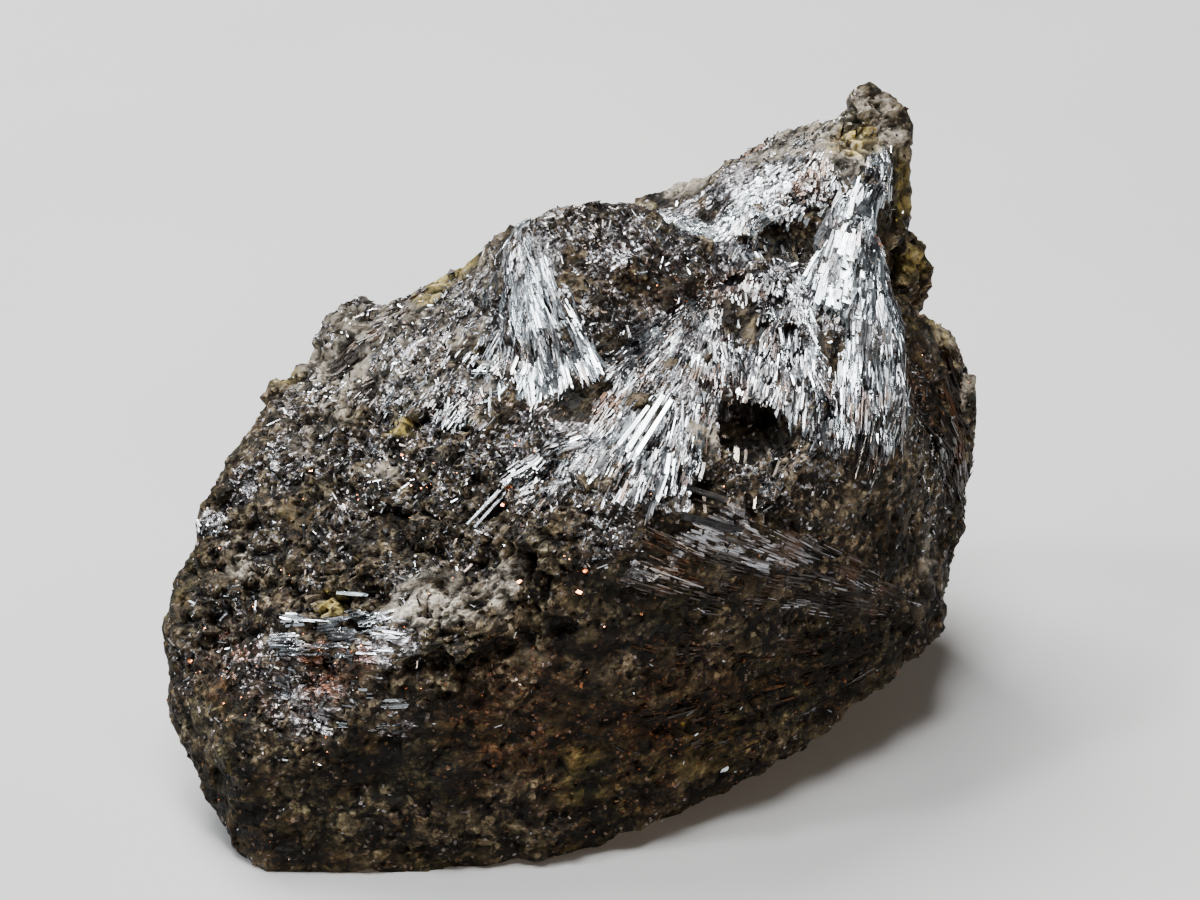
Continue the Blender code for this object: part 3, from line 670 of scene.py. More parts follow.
# ----------------------------------------
# The main spray. Hundreds of flat lead-grey stibnite blades grow out of one point high on the
# rock and fan down over its crown, lying over each other like shingles and ending in a broken,
# stepped edge. Each is a flattened prism with a chisel end.
MAIN_ROOT = (12.6, 6, 40)
MAIN_TIPS = [
    (4.7, -2.7, 38), (2.4, -4.8, 36.7), (1.6, -8.6, 34.8), (0.4, -12.6, 32.9), (0.2, -15.6, 31.8),
    (3.4, -17, 32), (6.4, -17.2, 32.2), (8.8, -16.6, 32.4), (10, -13.6, 34), (11.8, -6.4, 35.9),
    (14.8, -4.6, 36.6),
]
rock_polygons = [tuple(polygon.vertices) for polygon in rock_mesh.polygons]
rock_skin = BVHTree.FromPolygons([tuple(point) for point in rock_points], rock_polygons)
polygon_corner = np.array([corners[0] for corners in rock_polygons])


def on_rock(points):
    """The nearest places on the rock, and which way its skin faces there."""
    found = [rock_skin.find_nearest(Vector(point)) for point in points]
    places = np.array([tuple(hit[0]) for hit in found])
    faces = rock_calm[polygon_corner[np.array([hit[2] for hit in found])]]
    return places, faces


def turned(vectors, axes, angles):
    """Vectors turned about axes, by angles in radians."""
    cosine = np.cos(angles)[:, None]
    sine = np.sin(angles)[:, None]
    return vectors * cosine + np.cross(axes, vectors) * sine + axes * dots(axes, vectors) * (1 - cosine)


def along_line(line, shares):
    """Places along a line of points, by share of its run."""
    line = np.array(line, dtype=float)
    steps = np.clip(shares, 0, 0.9999) * (len(line) - 1)
    first = steps.astype(int)
    part = (steps - first)[:, None]
    return line[first] * (1 - part) + line[first + 1] * part


TONE_WANDER, TONE_DRIFT, GAP_WANDER, GAP_LEVEL = 2.4, 0.22, 2.0, -0.55
BUNDLE_PACKING, BUNDLE_STAGGER = 1.05, 0.7
BLADE_PITCH, BLADE_ROLL, BLADE_TONE = 0.03, 0.10, 0.10
BLADE_LONG, BLADE_WIDE, BLADE_THICK, BLADE_LIFT = (0.65, 1.2), (0.6, 1.25), (0.35, 0.75), (0.2, 1.4)


def grow_bundles(seed, root, tips, count, reach, length, width, spray=0.10, roll=0.42, pitch=(0.03, 0.07),
                 crowd=(3, 8), lift=0.08, tone=(0.54, 0.26), narrow=0.45, evenness=0.72, painted_highlight_fade=0.0):
    """Bundles of side-by-side blades that fan from a root to a line of tips, laid on the rock."""
    dice = np.random.default_rng(seed)
    rays = along_line(tips, dice.uniform(0, 1, count)) - root
    how_far = reach[0] + (reach[1] - reach[0]) * dice.uniform(0, 1, count) ** evenness
    middles, faces = on_rock(root + rays * how_far[:, None])
    heads = unit(unit(rays) + dice.normal(0, spray, (count, 3)))
    bundle_roll = dice.normal(0, roll, count)
    bundle_pitch = dice.normal(*pitch, count)
    bundle_tone = dice.normal(*tone, count) + TONE_DRIFT * wander(middles, TONE_WANDER, seed)
    # Painted highlight: blades made lighter towards the tips of the fan.
    bundle_tone += painted_highlight_fade * (how_far - 1)
    missing = wander(middles, GAP_WANDER, seed + 1) < GAP_LEVEL
    taper = narrow + (1 - narrow) * how_far
    bundle_length = dice.uniform(*length, count) * taper
    bundle_width = dice.uniform(*width, count) * taper
    of = np.repeat(np.arange(count), dice.integers(*crowd, count, endpoint=True) * ~missing)
    number = len(of)
    heads = heads[of]
    sides = unit(np.cross(faces[of], heads))
    crowd_width = bundle_width[of] * BUNDLE_PACKING * np.bincount(of, minlength=count)[of]
    across = dice.uniform(-0.5, 0.5, number) * crowd_width
    shift = dice.uniform(-0.5, 0.5, number) * bundle_length[of] * BUNDLE_STAGGER
    places, faces = on_rock(middles[of] + sides * across[:, None] + heads * shift[:, None])
    heads = laid_square(heads, faces)
    sides = unit(np.cross(faces, heads))
    heads = turned(heads, sides, -(bundle_pitch[of] + dice.normal(0, BLADE_PITCH, number)))
    faces = unit(np.cross(heads, sides))
    faces = turned(faces, heads, bundle_roll[of] + dice.normal(0, BLADE_ROLL, number))
    long = bundle_length[of] * dice.uniform(*BLADE_LONG, number)
    wide = bundle_width[of] * dice.uniform(*BLADE_WIDE, number)
    thick = wide * dice.uniform(*BLADE_THICK, number)
    raised = lift * dice.uniform(*BLADE_LIFT, number)
    feet = places - heads * (long * 0.5)[:, None] + faces * raised[:, None]
    tones = np.clip(bundle_tone[of] + dice.normal(0, BLADE_TONE, number), 0, 1)
    return [feet, heads, faces, long, wide, thick, tones]


BLADE_MIDDLE, BARE_CHANCE, CAVITY_MARGIN, CAVITY_CLEAR = 0.55, (0.1, 0.9), 0.95, 0.25


def join_up(*groups):
    """Several groups of blades as one, leaving the open cavities clear."""
    joined = [np.concatenate(parts) for parts in zip(*groups)]
    middles = joined[0] + joined[1] * (joined[3] * BLADE_MIDDLE)[:, None]
    chance = np.random.default_rng(18).uniform(*BARE_CHANCE, len(middles))
    bare = nearness(middles, BARE_GROUND, 12) > chance
    kept = (carved_depth(middles, CAVITY_MARGIN) < CAVITY_CLEAR) & ~bare
    return [part[kept] for part in joined]


BLADE_CORNERS = np.array([
    (0.00, -0.40, -0.5), (0.00, 0.40, -0.5), (0.00, 0.40, 0.5), (0.00, -0.40, 0.5),
    (0.84, -0.50, -0.5), (0.90, 0.50, -0.5), (0.90, 0.50, 0.5), (0.84, -0.50, 0.5),
    (1.00, -0.30, 0.0), (1.00, 0.24, 0.0),
])
BLADE_FACES = [
    (0, 3, 2, 1), (0, 1, 5, 4), (1, 2, 6, 5), (2, 3, 7, 6), (3, 0, 4, 7), (4, 5, 9, 8), (7, 8, 9, 6),
    (5, 6, 9), (4, 8, 7),
]
GROOVE_SQUEEZE, CHISEL_UNEVEN, GROOVE_APART = 0.06, (-0.10, 0.04), 90


def crowd_piece(name, feet, axes, shape, faces, material, **numbers):
    """One piece of many small solids with the same faces, fused to the rock, and its mesh.

    The shape is each corner's way from its solid's foot along the three axes.
    """
    count, corners, _ = shape.shape
    points = feet[:, None, :]
    for way, axis in enumerate(axes):
        points = points + shape[:, :, way, None] * axis[:, None, :]
    points = np.clip(points.reshape(-1, 3), box_low, box_high)
    starts = range(0, count * corners, corners)
    mesh = bpy.data.meshes.new(name)
    polygons = [tuple(start + corner for corner in face) for start in starts for face in faces]
    mesh.from_pydata((points * MM).tolist(), [], polygons)
    for number, values in numbers.items():
        keep_share(mesh, number, np.repeat(values, corners))
    mesh.materials.append(material)
    fix_to_rock(placed(name, mesh))
    return mesh


def blade_piece(name, blades, material, seed):
    """One piece of many flattened prisms with chisel ends, riding on the rock."""
    feet, heads, faces, long, wide, thick, tones = blades
    dice = np.random.default_rng(seed)
    sides = np.cross(faces, heads)
    number = len(feet)
    share = BLADE_CORNERS[None, :, :] * np.ones((number, 1, 1))
    share[:, 8:, 0] += dice.uniform(*CHISEL_UNEVEN, (number, 2))
    shape = share * np.stack([long, wide, thick], axis=1)[:, None, :]
    mesh = crowd_piece(name, feet, (heads, sides, faces), shape, BLADE_FACES, material, tone=tones)
    run = share[:, :, (1, 0, 2)] * np.stack([wide, long * GROOVE_SQUEEZE, thick], axis=1)[:, None, :]
    keep_run(mesh, run + dice.uniform(0, GROOVE_APART, (number, 1, 1)))


BLADE_STREAKS, BLADE_CLOUD_CELLS, BLADE_FILM_CELLS, GROOVE_DEPTH = 9.0, 620.0, 210.0, 0.00006


def blade_material(name, tones, tarnish, tarnish_share=0.35, roughness=(0.16, 0.38), groove=0.5):
    """Lead-grey metal with fine grooves along each blade, brighter or duller from blade to blade."""
    material, tree, shader = new_material(name)
    place = worked_out(tree, "TexCoord", "Object")
    streak = speckle(carried(tree, "run", "Vector"), BLADE_STREAKS, 3.0, 0.6)
    cloud = speckle(place, BLADE_CLOUD_CELLS, 3.0, 0.6)
    film = speckle(place, BLADE_FILM_CELLS, 3.0, 0.6)
    base = carried(tree, "tone").steps(tones)
    base = streak.spread(0.35, 0.62, 0.55, 0.0).mix(base, linear(40, 38, 38))
    base = film.spread(0.48, 0.66, 0.0, tarnish_share).mix(base, tarnish)
    dull = cloud.spread(0.3, 0.7, *roughness)
    relief = {"Strength": groove, "Distance": GROOVE_DEPTH, "Height": streak}
    finish(shader, relief, {"Base Color": base, "Metallic": 1.0, "Roughness": dull})
    return material


SILVER_TONES = shades(
    (0, 30, 26, 24), (0.22, 66, 63, 62), (0.45, 122, 123, 126), (0.72, 186, 192, 197), (1, 228, 237, 241),
)
bright_metal = blade_material("stibnite_bright", SILVER_TONES, linear(112, 84, 66))
main_blades = join_up(
    grow_bundles(21, MAIN_ROOT, MAIN_TIPS, 360, (0.04, 0.98), (1.0, 2.6), (0.14, 0.34), roll=0.35,
                 lift=0.0, tone=(0.50, 0.28)),
    grow_bundles(22, MAIN_ROOT, MAIN_TIPS, 820, (0.06, 0.99), (0.6, 1.9), (0.08, 0.20), spray=0.16,
                 roll=0.75, lift=0.05, tone=(0.50, 0.28)),
    grow_bundles(23, MAIN_ROOT, MAIN_TIPS[4:8], 60, (0.66, 0.99), (1.8, 3.6), (0.16, 0.34), roll=0.5,
                 lift=0.14, crowd=(2, 5)),
)
blade_piece("main_spray", main_blades, bright_metal, 31)

# ----------------------------------------
# The left spray. A narrower sheaf of bright blades that hangs from the shoulder of the crown,
# with dark brown rock showing between its strands.
LEFT_ROOT = (-4.4, 9.5, 45.2)
LEFT_TIPS = [
    (-7.6, 2.6, 36.6), (-5.2, -2.2, 35.2), (-3.6, -4.7, 34.4), (-2.4, -4.6, 35.2), (-1.2, -4.6, 35.6),
    (0.6, -5.5, 36.4), (2, -4.2, 37.2),
]
FIELD_TIPS = [
    (-20, 3, 31), (-17, -1, 30.6), (-13, -3.4, 31.6), (-10.4, -4.6, 32.6), (-7.4, -4, 33.8),
    (-5.2, -2.2, 35.2),
]
left_blades = join_up(
    grow_bundles(41, LEFT_ROOT, LEFT_TIPS, 380, (0.08, 1.00), (1.2, 3.0), (0.08, 0.20), roll=0.5,
                 tone=(0.92, 0.2)),
    grow_bundles(42, LEFT_ROOT, LEFT_TIPS[1:], 120, (0.40, 1.02), (2.0, 4.0), (0.14, 0.30), roll=0.45,
                 lift=0.16, crowd=(2, 5), tone=(0.80, 0.2)),
    grow_bundles(44, LEFT_ROOT, FIELD_TIPS, 460, (0.16, 1.00), (0.5, 1.4), (0.06, 0.15), spray=0.4,
                 roll=0.6, crowd=(1, 4), tone=(0.50, 0.16), narrow=0.8, lift=0.0),
)
blade_piece("left_spray", left_blades, bright_metal, 43)

# ----------------------------------------
# The right rib. Broad mirror-bright plates stand at its head, with dark cracks between them, and
# long fine fibres run down from them to the right-hand edge.
RIGHT_ROOT = (24.8, 12.4, 46)
PLATE_TIPS = [(20.3, 8.2, 41.5), (20.8, 4.6, 40.8), (21.4, 2.6, 40.2), (23, 0.4, 38.6), (24.6, 1, 39)]
FIBRE_TIPS = [
    (21.6, -6.8, 33), (23.2, -7.2, 32), (24.6, -7, 31.4), (25.8, -6.6, 31.2), (27, -4.4, 32.2),
    (28, 0, 32),
]
right_blades = join_up(
    grow_bundles(51, RIGHT_ROOT, PLATE_TIPS, 110, (0.10, 1.00), (1.8, 4.2), (0.35, 0.85), roll=0.25,
                 lift=0.16, crowd=(2, 5), tone=(0.82, 0.18), narrow=0.6),
    grow_bundles(54, RIGHT_ROOT, PLATE_TIPS, 200, (0.10, 1.00), (1.0, 2.6), (0.10, 0.26), roll=0.5,
                 lift=0.22, tone=(0.7, 0.24), narrow=0.6),
    grow_bundles(52, RIGHT_ROOT, FIBRE_TIPS, 480, (0.28, 1.02), (2.2, 5.2), (0.08, 0.20), roll=0.6,
                 lift=0.05, tone=(0.68, 0.24), spray=0.06, narrow=0.6),
)
blade_piece("right_rib", right_blades, bright_metal, 53)

# ----------------------------------------
# The middle fibres and the cavity. Short fibres run between the main spray and the rib, over the
# brim of a cavity painted black as its shade, in which a few small clean crystals stand upright.
CENTRE_ROOT = (18.6, 10, 43)
CENTRE_TIPS = [
    (13.6, -6.9, 35.7), (15.7, -6.6, 35.4), (17.8, -7.6, 34.8), (19.8, -8.3, 33.6), (22, -7.8, 32.4),
]
centre_blades = join_up(
    grow_bundles(61, CENTRE_ROOT, CENTRE_TIPS, 620, (0.26, 1.00), (0.8, 2.4), (0.08, 0.20), spray=0.18,
                 roll=0.7, lift=0.05, tone=(0.52, 0.26)),
    grow_bundles(62, CENTRE_ROOT, CENTRE_TIPS, 110, (0.50, 1.02), (1.4, 3.0), (0.14, 0.30), lift=0.14,
                 crowd=(2, 5)),
)
blade_piece("centre_fibres", centre_blades, bright_metal, 63)

# ----------------------------------------
# The silver skin of the upper slope. Where blades lie flat in the break they show as a bright,
# finely ribbed skin, with a white strip along the back of the hump.
# Each fan of the skin: its root, its tips, how many bundles, where they start, and how bright.
SKIN_FANS = [
    ((22, 17.5, 48), [(10.5, 12.5, 41.6), (13, 10.2, 41.6), (16.4, 9.6, 43.7)], 370, 0.3, 0.8),
    ((5.4, 19, 40.4), [(11.2, 12.8, 41.4), (12, 12, 41.5), (12.4, 11.2, 41.6)], 90, 0.05, 0.92),
    ((26, 17, 48), [(24, 10.4, 45.4), (26, 10.6, 45.6), (27.4, 12, 45)], 70, 0.3, 0.5),
    ((16, 15, 44.6), [(10.6, 3.6, 39.2), (13, 3.4, 39.4), (16, 3, 39), (18.6, 4, 39.8)],
     170, 0.45, 0.44),
    ((22, 17.5, 48), [(16, 9.6, 43.6), (19, 9.8, 44.6), (21.5, 10.6, 45.4)], 200, 0.3, 0.5),
]
skin_blades = join_up(*[
    grow_bundles(71 + number, root, tips, count, (near, 1.0), (0.5, 1.5), (0.10, 0.28), spray=0.35,
                 roll=0.4, tone=(bright, 0.22), narrow=0.8, lift=0.03)
    for number, (root, tips, count, near, bright) in enumerate(SKIN_FANS)
])
blade_piece("upper_skin", skin_blades, bright_metal, 74)

# ----------------------------------------
# The dark sprays of the front. Two fans of dull, brown-filmed blades grow from the low right-hand
# corner, one up under the brow and one across the foot.
DARK_ROOT = (32, -1.2, 11)
BROW_TIPS = [
    (4.4, -19.5, 25), (5.2, -19.3, 26.6), (6.9, -18.4, 28.6), (9.6, -17.8, 29.6), (13.8, -15.6, 28.4),
    (18.6, -12.6, 25.6),
]
FOOT_TIPS = [(3.6, -20.4, 22), (3.6, -20.6, 16), (7.6, -19.6, 10), (12, -17.6, 6.4)]
DULL_TONES = shades((0, 18, 15, 13), (0.35, 48, 43, 38), (0.65, 98, 94, 92), (1, 186, 187, 193))
dull_metal = blade_material("stibnite_dull", DULL_TONES, linear(84, 56, 34), 0.6, (0.24, 0.5), 0.7)
dark_blades = join_up(
    # The brow blades are painted lighter towards their tips as a highlight.
    grow_bundles(81, DARK_ROOT, BROW_TIPS, 430, (0.26, 0.98), (1.6, 5.0), (0.05, 0.15), spray=0.035,
                 roll=0.22, pitch=(-0.005, 0.012), lift=-0.02, tone=(0.58, 0.24), narrow=0.6,
                 evenness=0.9, painted_highlight_fade=0.55),
    grow_bundles(84, DARK_ROOT, BROW_TIPS[2:5], 60, (0.70, 0.97), (1.2, 3.4), (0.12, 0.26), spray=0.03,
                 roll=0.18, pitch=(-0.005, 0.012), lift=0.0, tone=(0.84, 0.2), narrow=0.8, evenness=0.8),
    grow_bundles(82, DARK_ROOT, FOOT_TIPS, 130, (0.15, 0.98), (1.4, 3.6), (0.08, 0.20), spray=0.05,
                 roll=0.3, pitch=(-0.005, 0.015), lift=-0.04, tone=(0.20, 0.18), narrow=0.6,
                 evenness=1.0),
)
blade_piece("front_sprays", dark_blades, dull_metal, 83)

# ----------------------------------------
# The silver laths low on the left and under the hump. Short straight strips of a spray that is
# mostly buried show here where the brown rock has broken off them.
# Each group: its root, its tips, how many bundles, the stretch that shows, and how bright.
LATH_GROUPS = [
    ((-60, -6, 16), [(-14.5, -19.4, 22.4), (-14.4, -20.6, 21), (-15, -21.4, 18.6)], 150,
     (0.76, 0.99), 0.62),
    ((-60, -2, 12), [(-13, -22.6, 14.4), (-13, -21.4, 17.2)], 90, (0.74, 0.96), 0.46),
    ((-6, 2, 38), [(-12, -4, 32), (-10, -6.4, 32.4), (-6.8, -7.4, 33)], 60, (0.2, 1), 0.6),
    ((4, -8, 36), [(-6.5, -11, 31), (-5, -14, 30.6), (-3, -16.6, 29.8)], 160,
     (0.35, 1), 0.48),
]
lath_blades = join_up(*[
    grow_bundles(91 + number, root, tips, count, reach, (0.7, 2.6), (0.07, 0.22),
                 spray=0.10 + 0.32 * (number > 1), roll=0.40 + 0.2 * (number > 1), tone=(bright, 0.26),
                 lift=0.03, crowd=(2, 5), narrow=0.9)
    for number, (root, tips, count, reach, bright) in enumerate(LATH_GROUPS)
])
blade_piece("left_laths", lath_blades, bright_metal, 97)

# ----------------------------------------
# The sprays on the back. The far side is a weathered break: duller blades fan down it from the
# ridge, half hidden under brown film, with a few bright ones where it was knocked.
# Each fan: its root, its tips, how many bundles, and how bright.
BACK_FANS = [
    ((2, 20, 36), [(-17, 17, 19), (-12, 20, 12), (-6, 23, 8), (2, 24.6, 7)],
     420, 0.4),
    ((24, 19, 46), [(10, 24, 30), (16, 24, 24), (24, 22, 22), (29, 18, 26)],
     360, 0.46),
    ((-6, 14, 40), [(-24, 10, 24), (-26, 6, 22), (-30, 2, 20)], 180, 0.36),
    ((34, 8, 12), [(31, 13, 30), (33.6, 8, 28), (31, 2, 26)], 220, 0.26),
]
back_blades = join_up(*[
    grow_bundles(121 + number, root, tips, count, (0.12, 1.04), (1.0, 3.6), (0.09, 0.30), spray=0.12,
                 roll=0.4, tone=(bright, 0.24), lift=0.03, narrow=0.6, evenness=1.0)
    for number, (root, tips, count, bright) in enumerate(BACK_FANS)
])
blade_piece("back_sprays", back_blades, dull_metal, 127)

# ----------------------------------------
# Crumbs and glitter. All over the brown parts the broken rock is a crowd of small angular grains,
# some clear tan, some black, with tiny mirror-bright stibnite plates among them.
CRUMB_COUNT, CRUMB_LEAST, CRUMB_SPREAD, CRUMB_SUNK, CRUMB_CROWDING = 2800, 0.14, 0.46, 0.28, 2.2
CRUMB_TONE, CRUMB_TONE_BROAD, CRUMB_TONE_FINE, CRUMB_TONE_EACH = 0.27, 0.26, 0.13, 0.09
CRUMB_DARK_AND_SHADE_SPOTS, CRUMB_PIT_SHADE, CRUMB_BIAS = 0.34, 0.3, 2.6
PLATE_COUNT, PLATE_LEAST, PLATE_SPREAD, PLATE_ROLL, PLATE_TIP = 5600, 0.20, 1.20, 0.6, 0.26
PLATE_WIDE, PLATE_THICK, PLATE_PROUD = (0.06, 0.22), (0.04, 0.08), 0.02
PLATE_TONE, PLATE_TONE_EACH, PLATE_BIAS = 0.46, 0.26, 2.8
STRAY_GLITTER, GLITTER_CLUMPS, GLITTER_CLUMP_SIZE, DARK_AND_SHADE_LOSS = 0.006, 1.4, 2.3, 0.75
FOOT_CLEAR, BROWN_LEAST = 0.6, 0.10
CRUMB_CLOUD_CELLS, CRUMB_BUMP, CRUMB_BUMP_DEPTH, CRUMB_SHINE = 1900.0, 0.4, 0.00008, 0.22


def scatter(seed, count, wanted):
    """Places picked all over the rock, by how much each spot is wanted."""
    dice = np.random.default_rng(seed)
    weights = wanted / wanted.sum()
    picked = dice.choice(len(rock_points), count, replace=False, p=weights)
    shift = dice.normal(0, ROCK_CELL * 0.5, (count, 3))
    return on_rock(rock_points[picked] + shift), picked, dice


GRAIN_CORNERS = np.array([
    (-1, -1, -1), (1, -1, -1), (1, 1, -1), (-1, 1, -1), (-1, -1, 1), (1, -1, 1), (1, 1, 1), (-1, 1, 1),
]) * 0.5
GRAIN_SQUASH, GRAIN_UNEVEN = (0.5, 1.0), (-0.22, 0.22)
GRAIN_FACES = [(0, 3, 2, 1), (4, 5, 6, 7), (0, 1, 5, 4), (1, 2, 6, 5), (2, 3, 7, 6), (3, 0, 4, 7)]


def grain_piece(name, places, size, tones, kinds, material, dice):
    """One piece of many small broken grains, half sunk in the rock."""
    number = len(places)
    first = unit(dice.normal(0, 1, (number, 3)))
    second = unit(np.cross(first, dice.normal(0, 1, (number, 3))))
    shape = GRAIN_CORNERS[None, :, :] + dice.uniform(*GRAIN_UNEVEN, (number, 8, 3))
    shape = shape * (size[:, None, None] * dice.uniform(*GRAIN_SQUASH, (number, 1, 3)))
    axes = (first, second, np.cross(first, second))
    crowd_piece(name, places, axes, shape, GRAIN_FACES, material, tone=tones, kind=kinds)


def crumb_material():
    """Glassy broken grains, from black through brown and olive to clear tan."""
    material, tree, shader = new_material("rock_crumbs")
    place = worked_out(tree, "TexCoord", "Object")
    cloud = speckle(place, CRUMB_CLOUD_CELLS, 3.0, 0.6)
    tone = carried(tree, "tone") + (cloud - 0.5)
    brown = tone.steps(shades(
        (0, 10, 8, 6), (0.3, 29, 21, 14), (0.55, 54, 42, 28), (0.8, 94, 80, 58), (1, 142, 130, 104),
    ))
    pale = tone.steps(shades((0, 88, 82, 72), (0.5, 150, 142, 128), (1, 214, 208, 196)))
    yellow = tone.steps(shades((0, 86, 70, 28), (0.5, 150, 128, 56), (1, 206, 186, 104)))
    base = carried(tree, "kind").spread(0.4, 0.6).mix(brown, pale)
    base = carried(tree, "kind").spread(1.4, 1.6).mix(base, yellow)
    dull = cloud.spread(0.3, 0.7, 0.18, 0.5)
    relief = {"Strength": CRUMB_BUMP, "Distance": CRUMB_BUMP_DEPTH, "Height": cloud}
    finish(shader, relief, {"Base Color": base, "Roughness": dull, "Specular IOR Level": CRUMB_SHINE})
    return material


crumb_paint = crumb_material()
brown_share = np.clip(1 - silver_share * 1.1, BROWN_LEAST, 1) * (1 - pit_share)
brown_share = brown_share * (rock_points[:, 2] > FOOT_CLEAR)
crumb_share = brown_share * rough_share ** CRUMB_CROWDING
(crumb_places, crumb_faces), crumb_picked, crumb_dice = scatter(101, CRUMB_COUNT, crumb_share)
crumb_size = CRUMB_LEAST + CRUMB_SPREAD * crumb_dice.uniform(0, 1, CRUMB_COUNT) ** CRUMB_BIAS
crumb_kind = np.where(crumb_dice.uniform(0, 1, CRUMB_COUNT) < pale_and_lit_share[crumb_picked], 1.0, 0.0)
crumb_kind = np.where(crumb_dice.uniform(0, 1, CRUMB_COUNT) < yellow_share[crumb_picked], 2.0, crumb_kind)
crumb_tone = CRUMB_TONE + CRUMB_TONE_BROAD * wander(crumb_places, 2.8, 7)
crumb_tone += CRUMB_TONE_FINE * wander(crumb_places, 0.9, 8)
# Painted shade: crumbs darkened on the dark and shaded ground and in the pits.
crumb_dark_and_shade = CRUMB_DARK_AND_SHADE_SPOTS * nearness(crumb_places, DARK_AND_SHADE_GROUND, 6)
crumb_tone -= crumb_dark_and_shade + CRUMB_PIT_SHADE * carved_depth(crumb_places, 1.2)
crumb_tone = np.clip(crumb_tone + crumb_dice.normal(0, CRUMB_TONE_EACH, CRUMB_COUNT), 0, 1)
crumb_places = crumb_places - crumb_faces * (crumb_size * CRUMB_SUNK)[:, None]
grain_piece("rock_crumbs", crumb_places, crumb_size, crumb_tone, crumb_kind, crumb_paint, crumb_dice)

glitter_clumps = np.clip(0.6 + GLITTER_CLUMPS * wander(rock_points, GLITTER_CLUMP_SIZE, 22), 0.06, 1.8)
glitter_share = np.clip(glint_share + STRAY_GLITTER, 0, 1) * np.clip(brown_share + 0.15, 0, 1)
glitter_share = glitter_share * glitter_clumps
# Fewer glitter plates where the ground is dark or painted as shade, and none in the pits.
glitter_share = glitter_share * (1 - DARK_AND_SHADE_LOSS * dark_and_shade_share) * (1 - pit_share)
plate_film = linear(118, 88, 64)
plate_metal = blade_material("stibnite_glitter", SILVER_TONES, plate_film, 0.35, (0.14, 0.34), 0.4)
(plate_places, plate_faces), _, plate_dice = scatter(102, PLATE_COUNT, glitter_share)
plate_heads = unit(np.cross(plate_faces, plate_dice.normal(0, 1, (PLATE_COUNT, 3))))
plate_tip = plate_dice.normal(0, PLATE_TIP, PLATE_COUNT)
plate_heads = turned(plate_heads, unit(np.cross(plate_faces, plate_heads)), plate_tip)
plate_faces = laid_square(plate_faces, plate_heads)
plate_faces = turned(plate_faces, plate_heads, plate_dice.normal(0, PLATE_ROLL, PLATE_COUNT))
plate_long = PLATE_LEAST + PLATE_SPREAD * plate_dice.uniform(0, 1, PLATE_COUNT) ** PLATE_BIAS
plates = [
    plate_places - plate_heads * (plate_long * 0.5)[:, None] + plate_faces * PLATE_PROUD,
    plate_heads, plate_faces, plate_long, plate_dice.uniform(*PLATE_WIDE, PLATE_COUNT),
    plate_dice.uniform(*PLATE_THICK, PLATE_COUNT),
    np.clip(plate_dice.normal(PLATE_TONE, PLATE_TONE_EACH, PLATE_COUNT), 0, 1),
]
blade_piece("glitter_plates", plates, plate_metal, 103)

# ----------------------------------------
# Single crystals that stand clear of the sprays: long bright blades in the middle of the main
# spray, a lone blade on the left, a needle over its recess, and the small upright crystals and
# posts in the cavities. One dark strip among them is a painted shadow under a slanted bar. Each is given by
# its two ends, width and brightness.
SINGLES = [
    ((7.2, -7.9, 36.4), (3.9, -13.9, 34.1), 0.5, 1.00),
    ((7.9, -8.5, 36.3), (4.6, -14, 33.7), 0.44, 0.95),
    ((6, -8.3, 35.6), (3.1, -12.9, 34), 0.4, 0.8),
    ((-19.8, -15.7, 22.1), (-17.2, -17, 22.7), 0.34, 1.00),
    ((-8.9, -15.2, 28.4), (-5.1, -12.9, 31.7), 0.3, 0.9),
    ((-8.3, -15.5, 28.3), (-5.6, -13.4, 30.6), 0.26, 0.55),
    ((13.1, -12.6, 31.5), (13.2, -11.5, 34), 0.46, 1.00),
    ((11.8, -12.6, 32.3), (12.6, -11.8, 33.5), 0.22, 0.75),
    ((16.2, -12.9, 31.6), (16.8, -12.2, 33), 0.24, 0.45),
    ((13.9, -12, 32), (14, -11.2, 33.4), 0.26, 0.5),
    ((15.4, -12.7, 31.5), (15.5, -12.1, 32.6), 0.26, 0.9),
    ((8.2, -18, 30.2), (9, -17, 32.6), 0.36, 0.36),
    ((10.5, -17.3, 30.8), (10.4, -16.5, 32.4), 0.3, 0.42),
    ((14.6, -15, 29.8), (14.7, -14.4, 30.9), 0.26, 1.00),
    ((9, -17, 33), (12.6, -16.7, 31.5), 0.5, 0.42),
    # A dark strip painted as the shadow under the slanted bar above.
    ((9.6, -17.5, 32.2), (12.6, -17.2, 30.9), 0.24, 0.2),
    ((8.7, -18.5, 31.2), (13.2, -16.5, 28.6), 0.7, 0.36),
    ((9.6, -18.4, 30.8), (14.2, -15.9, 28.2), 0.5, 0.3),
    ((-6.4, -13, 30.9), (-3.2, -12.2, 32.6), 0.34, 0.7),
    ((-2.6, -14.9, 30.4), (0.4, -17, 31.2), 0.34, 0.65),
    ((11.6, -17, 5), (12.9, -17.2, 5.6), 0.4, 1.00),
]
UPRIGHT_FACE = (0.27, -0.86, 0.44)
UPRIGHT_LEAST, SINGLE_THICK, SKY_LEAN = 0.8, 0.6, (-0.1, -0.25, 0.5)
single_ends = np.array([(start, end) for start, end, _, _ in SINGLES], dtype=float)
single_heads = unit(single_ends[:, 1] - single_ends[:, 0])
upright = single_heads[:, 2] > UPRIGHT_LEAST
single_sky = on_rock(single_ends.mean(axis=1))[1] + np.array(SKY_LEAN)
single_sky[upright] = UPRIGHT_FACE
single_faces = laid_square(single_sky, single_heads)
single_wide = np.array([wide for _, _, wide, _ in SINGLES])
single_long = np.linalg.norm(single_ends[:, 1] - single_ends[:, 0], axis=1)
single_blades = [
    single_ends[:, 0], single_heads, single_faces, single_long, single_wide, single_wide * SINGLE_THICK,
    np.array([tone for _, _, _, tone in SINGLES]),
]
blade_piece("single_crystals_and_shadow_strip", single_blades, bright_metal, 111)

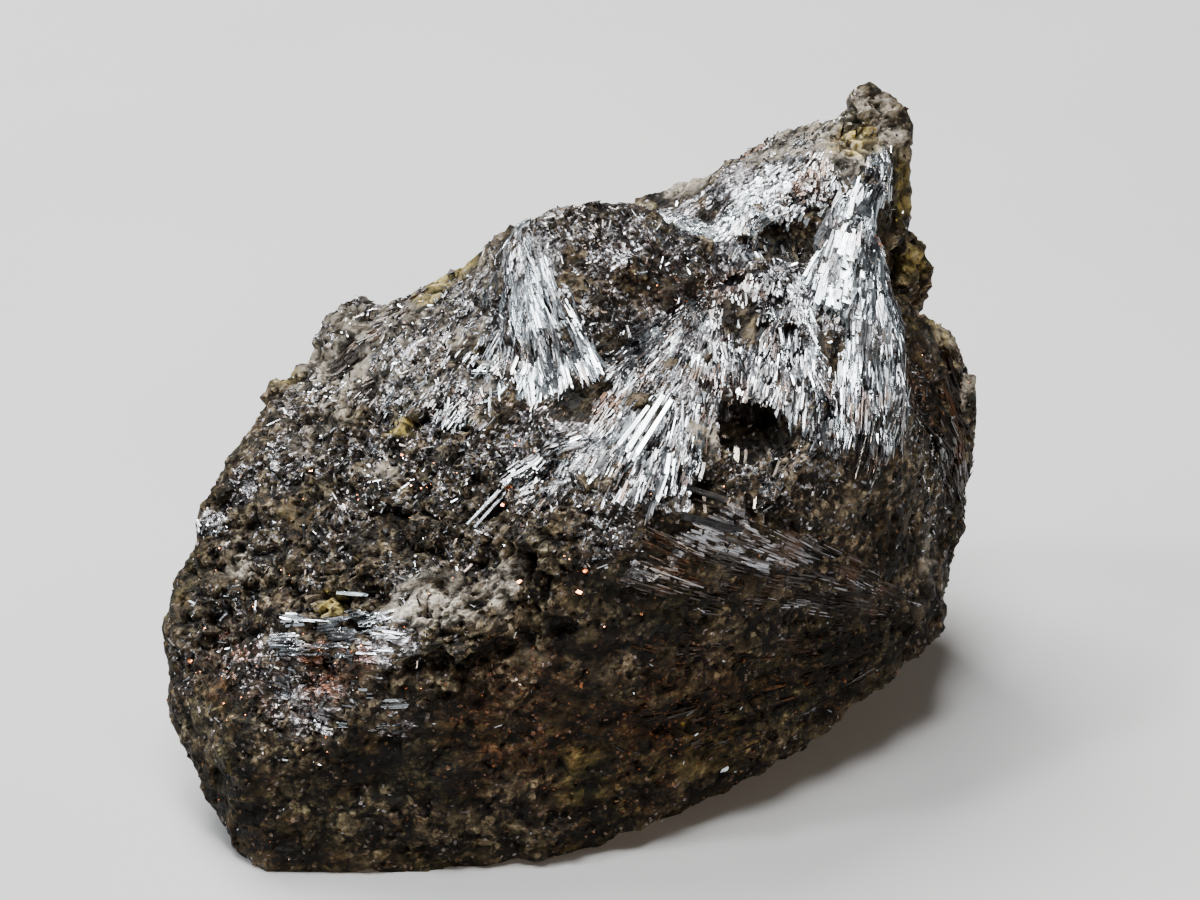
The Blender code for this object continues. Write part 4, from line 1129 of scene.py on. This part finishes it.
# ----------------------------------------
# The sparks. Here and there a small clean face of stibnite carries a thin coppery tarnish, and
# glows orange where it happens to be turned to the lamp. The larger ones are listed one by one.
SPARK_PLACES = [
    (-5.4, -13.2, 30.7, 0.55), (0.8, -20, 26.8, 0.5), (0.1, -20.4, 25.1, 0.55),
    (-4.4, -19.9, 26, 0.4), (5.5, -19.4, 22.6, 0.34), (0.6, -21.2, 16.8, 0.5),
    (-18.4, -20.7, 19.5, 0.3), (-14, -23.2, 17.5, 0.3), (22.9, -10.6, 10.1, 0.28),
    (19.6, -12.8, 11.3, 0.34), (-32.9, -13.4, 13.8, 0.4), (-14.6, -6, 29.7, 0.34),
    (-22.5, -3.8, 26.9, 0.36), (-4.6, -21.3, 21.1, 0.26), (-6.2, -14.2, 29.7, 0.36),
]
SPARK_FACE = np.array([(-0.21, -0.32, 0.92)])
SMALL_SPARKS, SMALL_SPARK_SIZE = 420, (0.08, 0.17)
SPARK_WIDE, SPARK_THICK, SPARK_PROUD, SPARK_TILT = (0.5, 0.9), 0.5, 0.22, 0.10
COPPER_TONES = shades((0, 120, 66, 34), (0.5, 224, 128, 70), (1, 255, 176, 120))
spark_wanted = np.clip(rust_share * 2 + 0.15 * (rock_points[:, 1] < -6), 0, 1)
spark_wanted = spark_wanted * (1 - silver_share) * (rock_points[:, 2] > 1.0)
(small_places, _), _, spark_dice = scatter(131, SMALL_SPARKS, spark_wanted)
spark_points = np.concatenate([[spark[:3] for spark in SPARK_PLACES], small_places])
spark_count = len(spark_points)
small_size = spark_dice.uniform(*SMALL_SPARK_SIZE, SMALL_SPARKS)
spark_size = np.concatenate([[spark[3] for spark in SPARK_PLACES], small_size])
spark_places, spark_skin = on_rock(spark_points)
spark_faces = unit(SPARK_FACE + spark_dice.normal(0, SPARK_TILT, (spark_count, 3)))
spark_heads = unit(np.cross(spark_faces, spark_dice.normal(0, 1, (spark_count, 3))))
spark_feet = spark_places - spark_heads * (spark_size * 0.5)[:, None]
spark_feet += spark_skin * (spark_size * SPARK_PROUD)[:, None]
spark_wide = spark_size * spark_dice.uniform(*SPARK_WIDE, spark_count)
spark_tones = spark_dice.uniform(0.2, 1.0, spark_count)
spark_blades = [
    spark_feet, spark_heads, spark_faces, spark_size, spark_wide, spark_size * SPARK_THICK, spark_tones,
]
copper_metal = blade_material("stibnite_copper", COPPER_TONES, linear(150, 60, 30), 0.3, (0.12, 0.26), 0.2)
blade_piece("copper_sparks", spark_blades, copper_metal, 133)
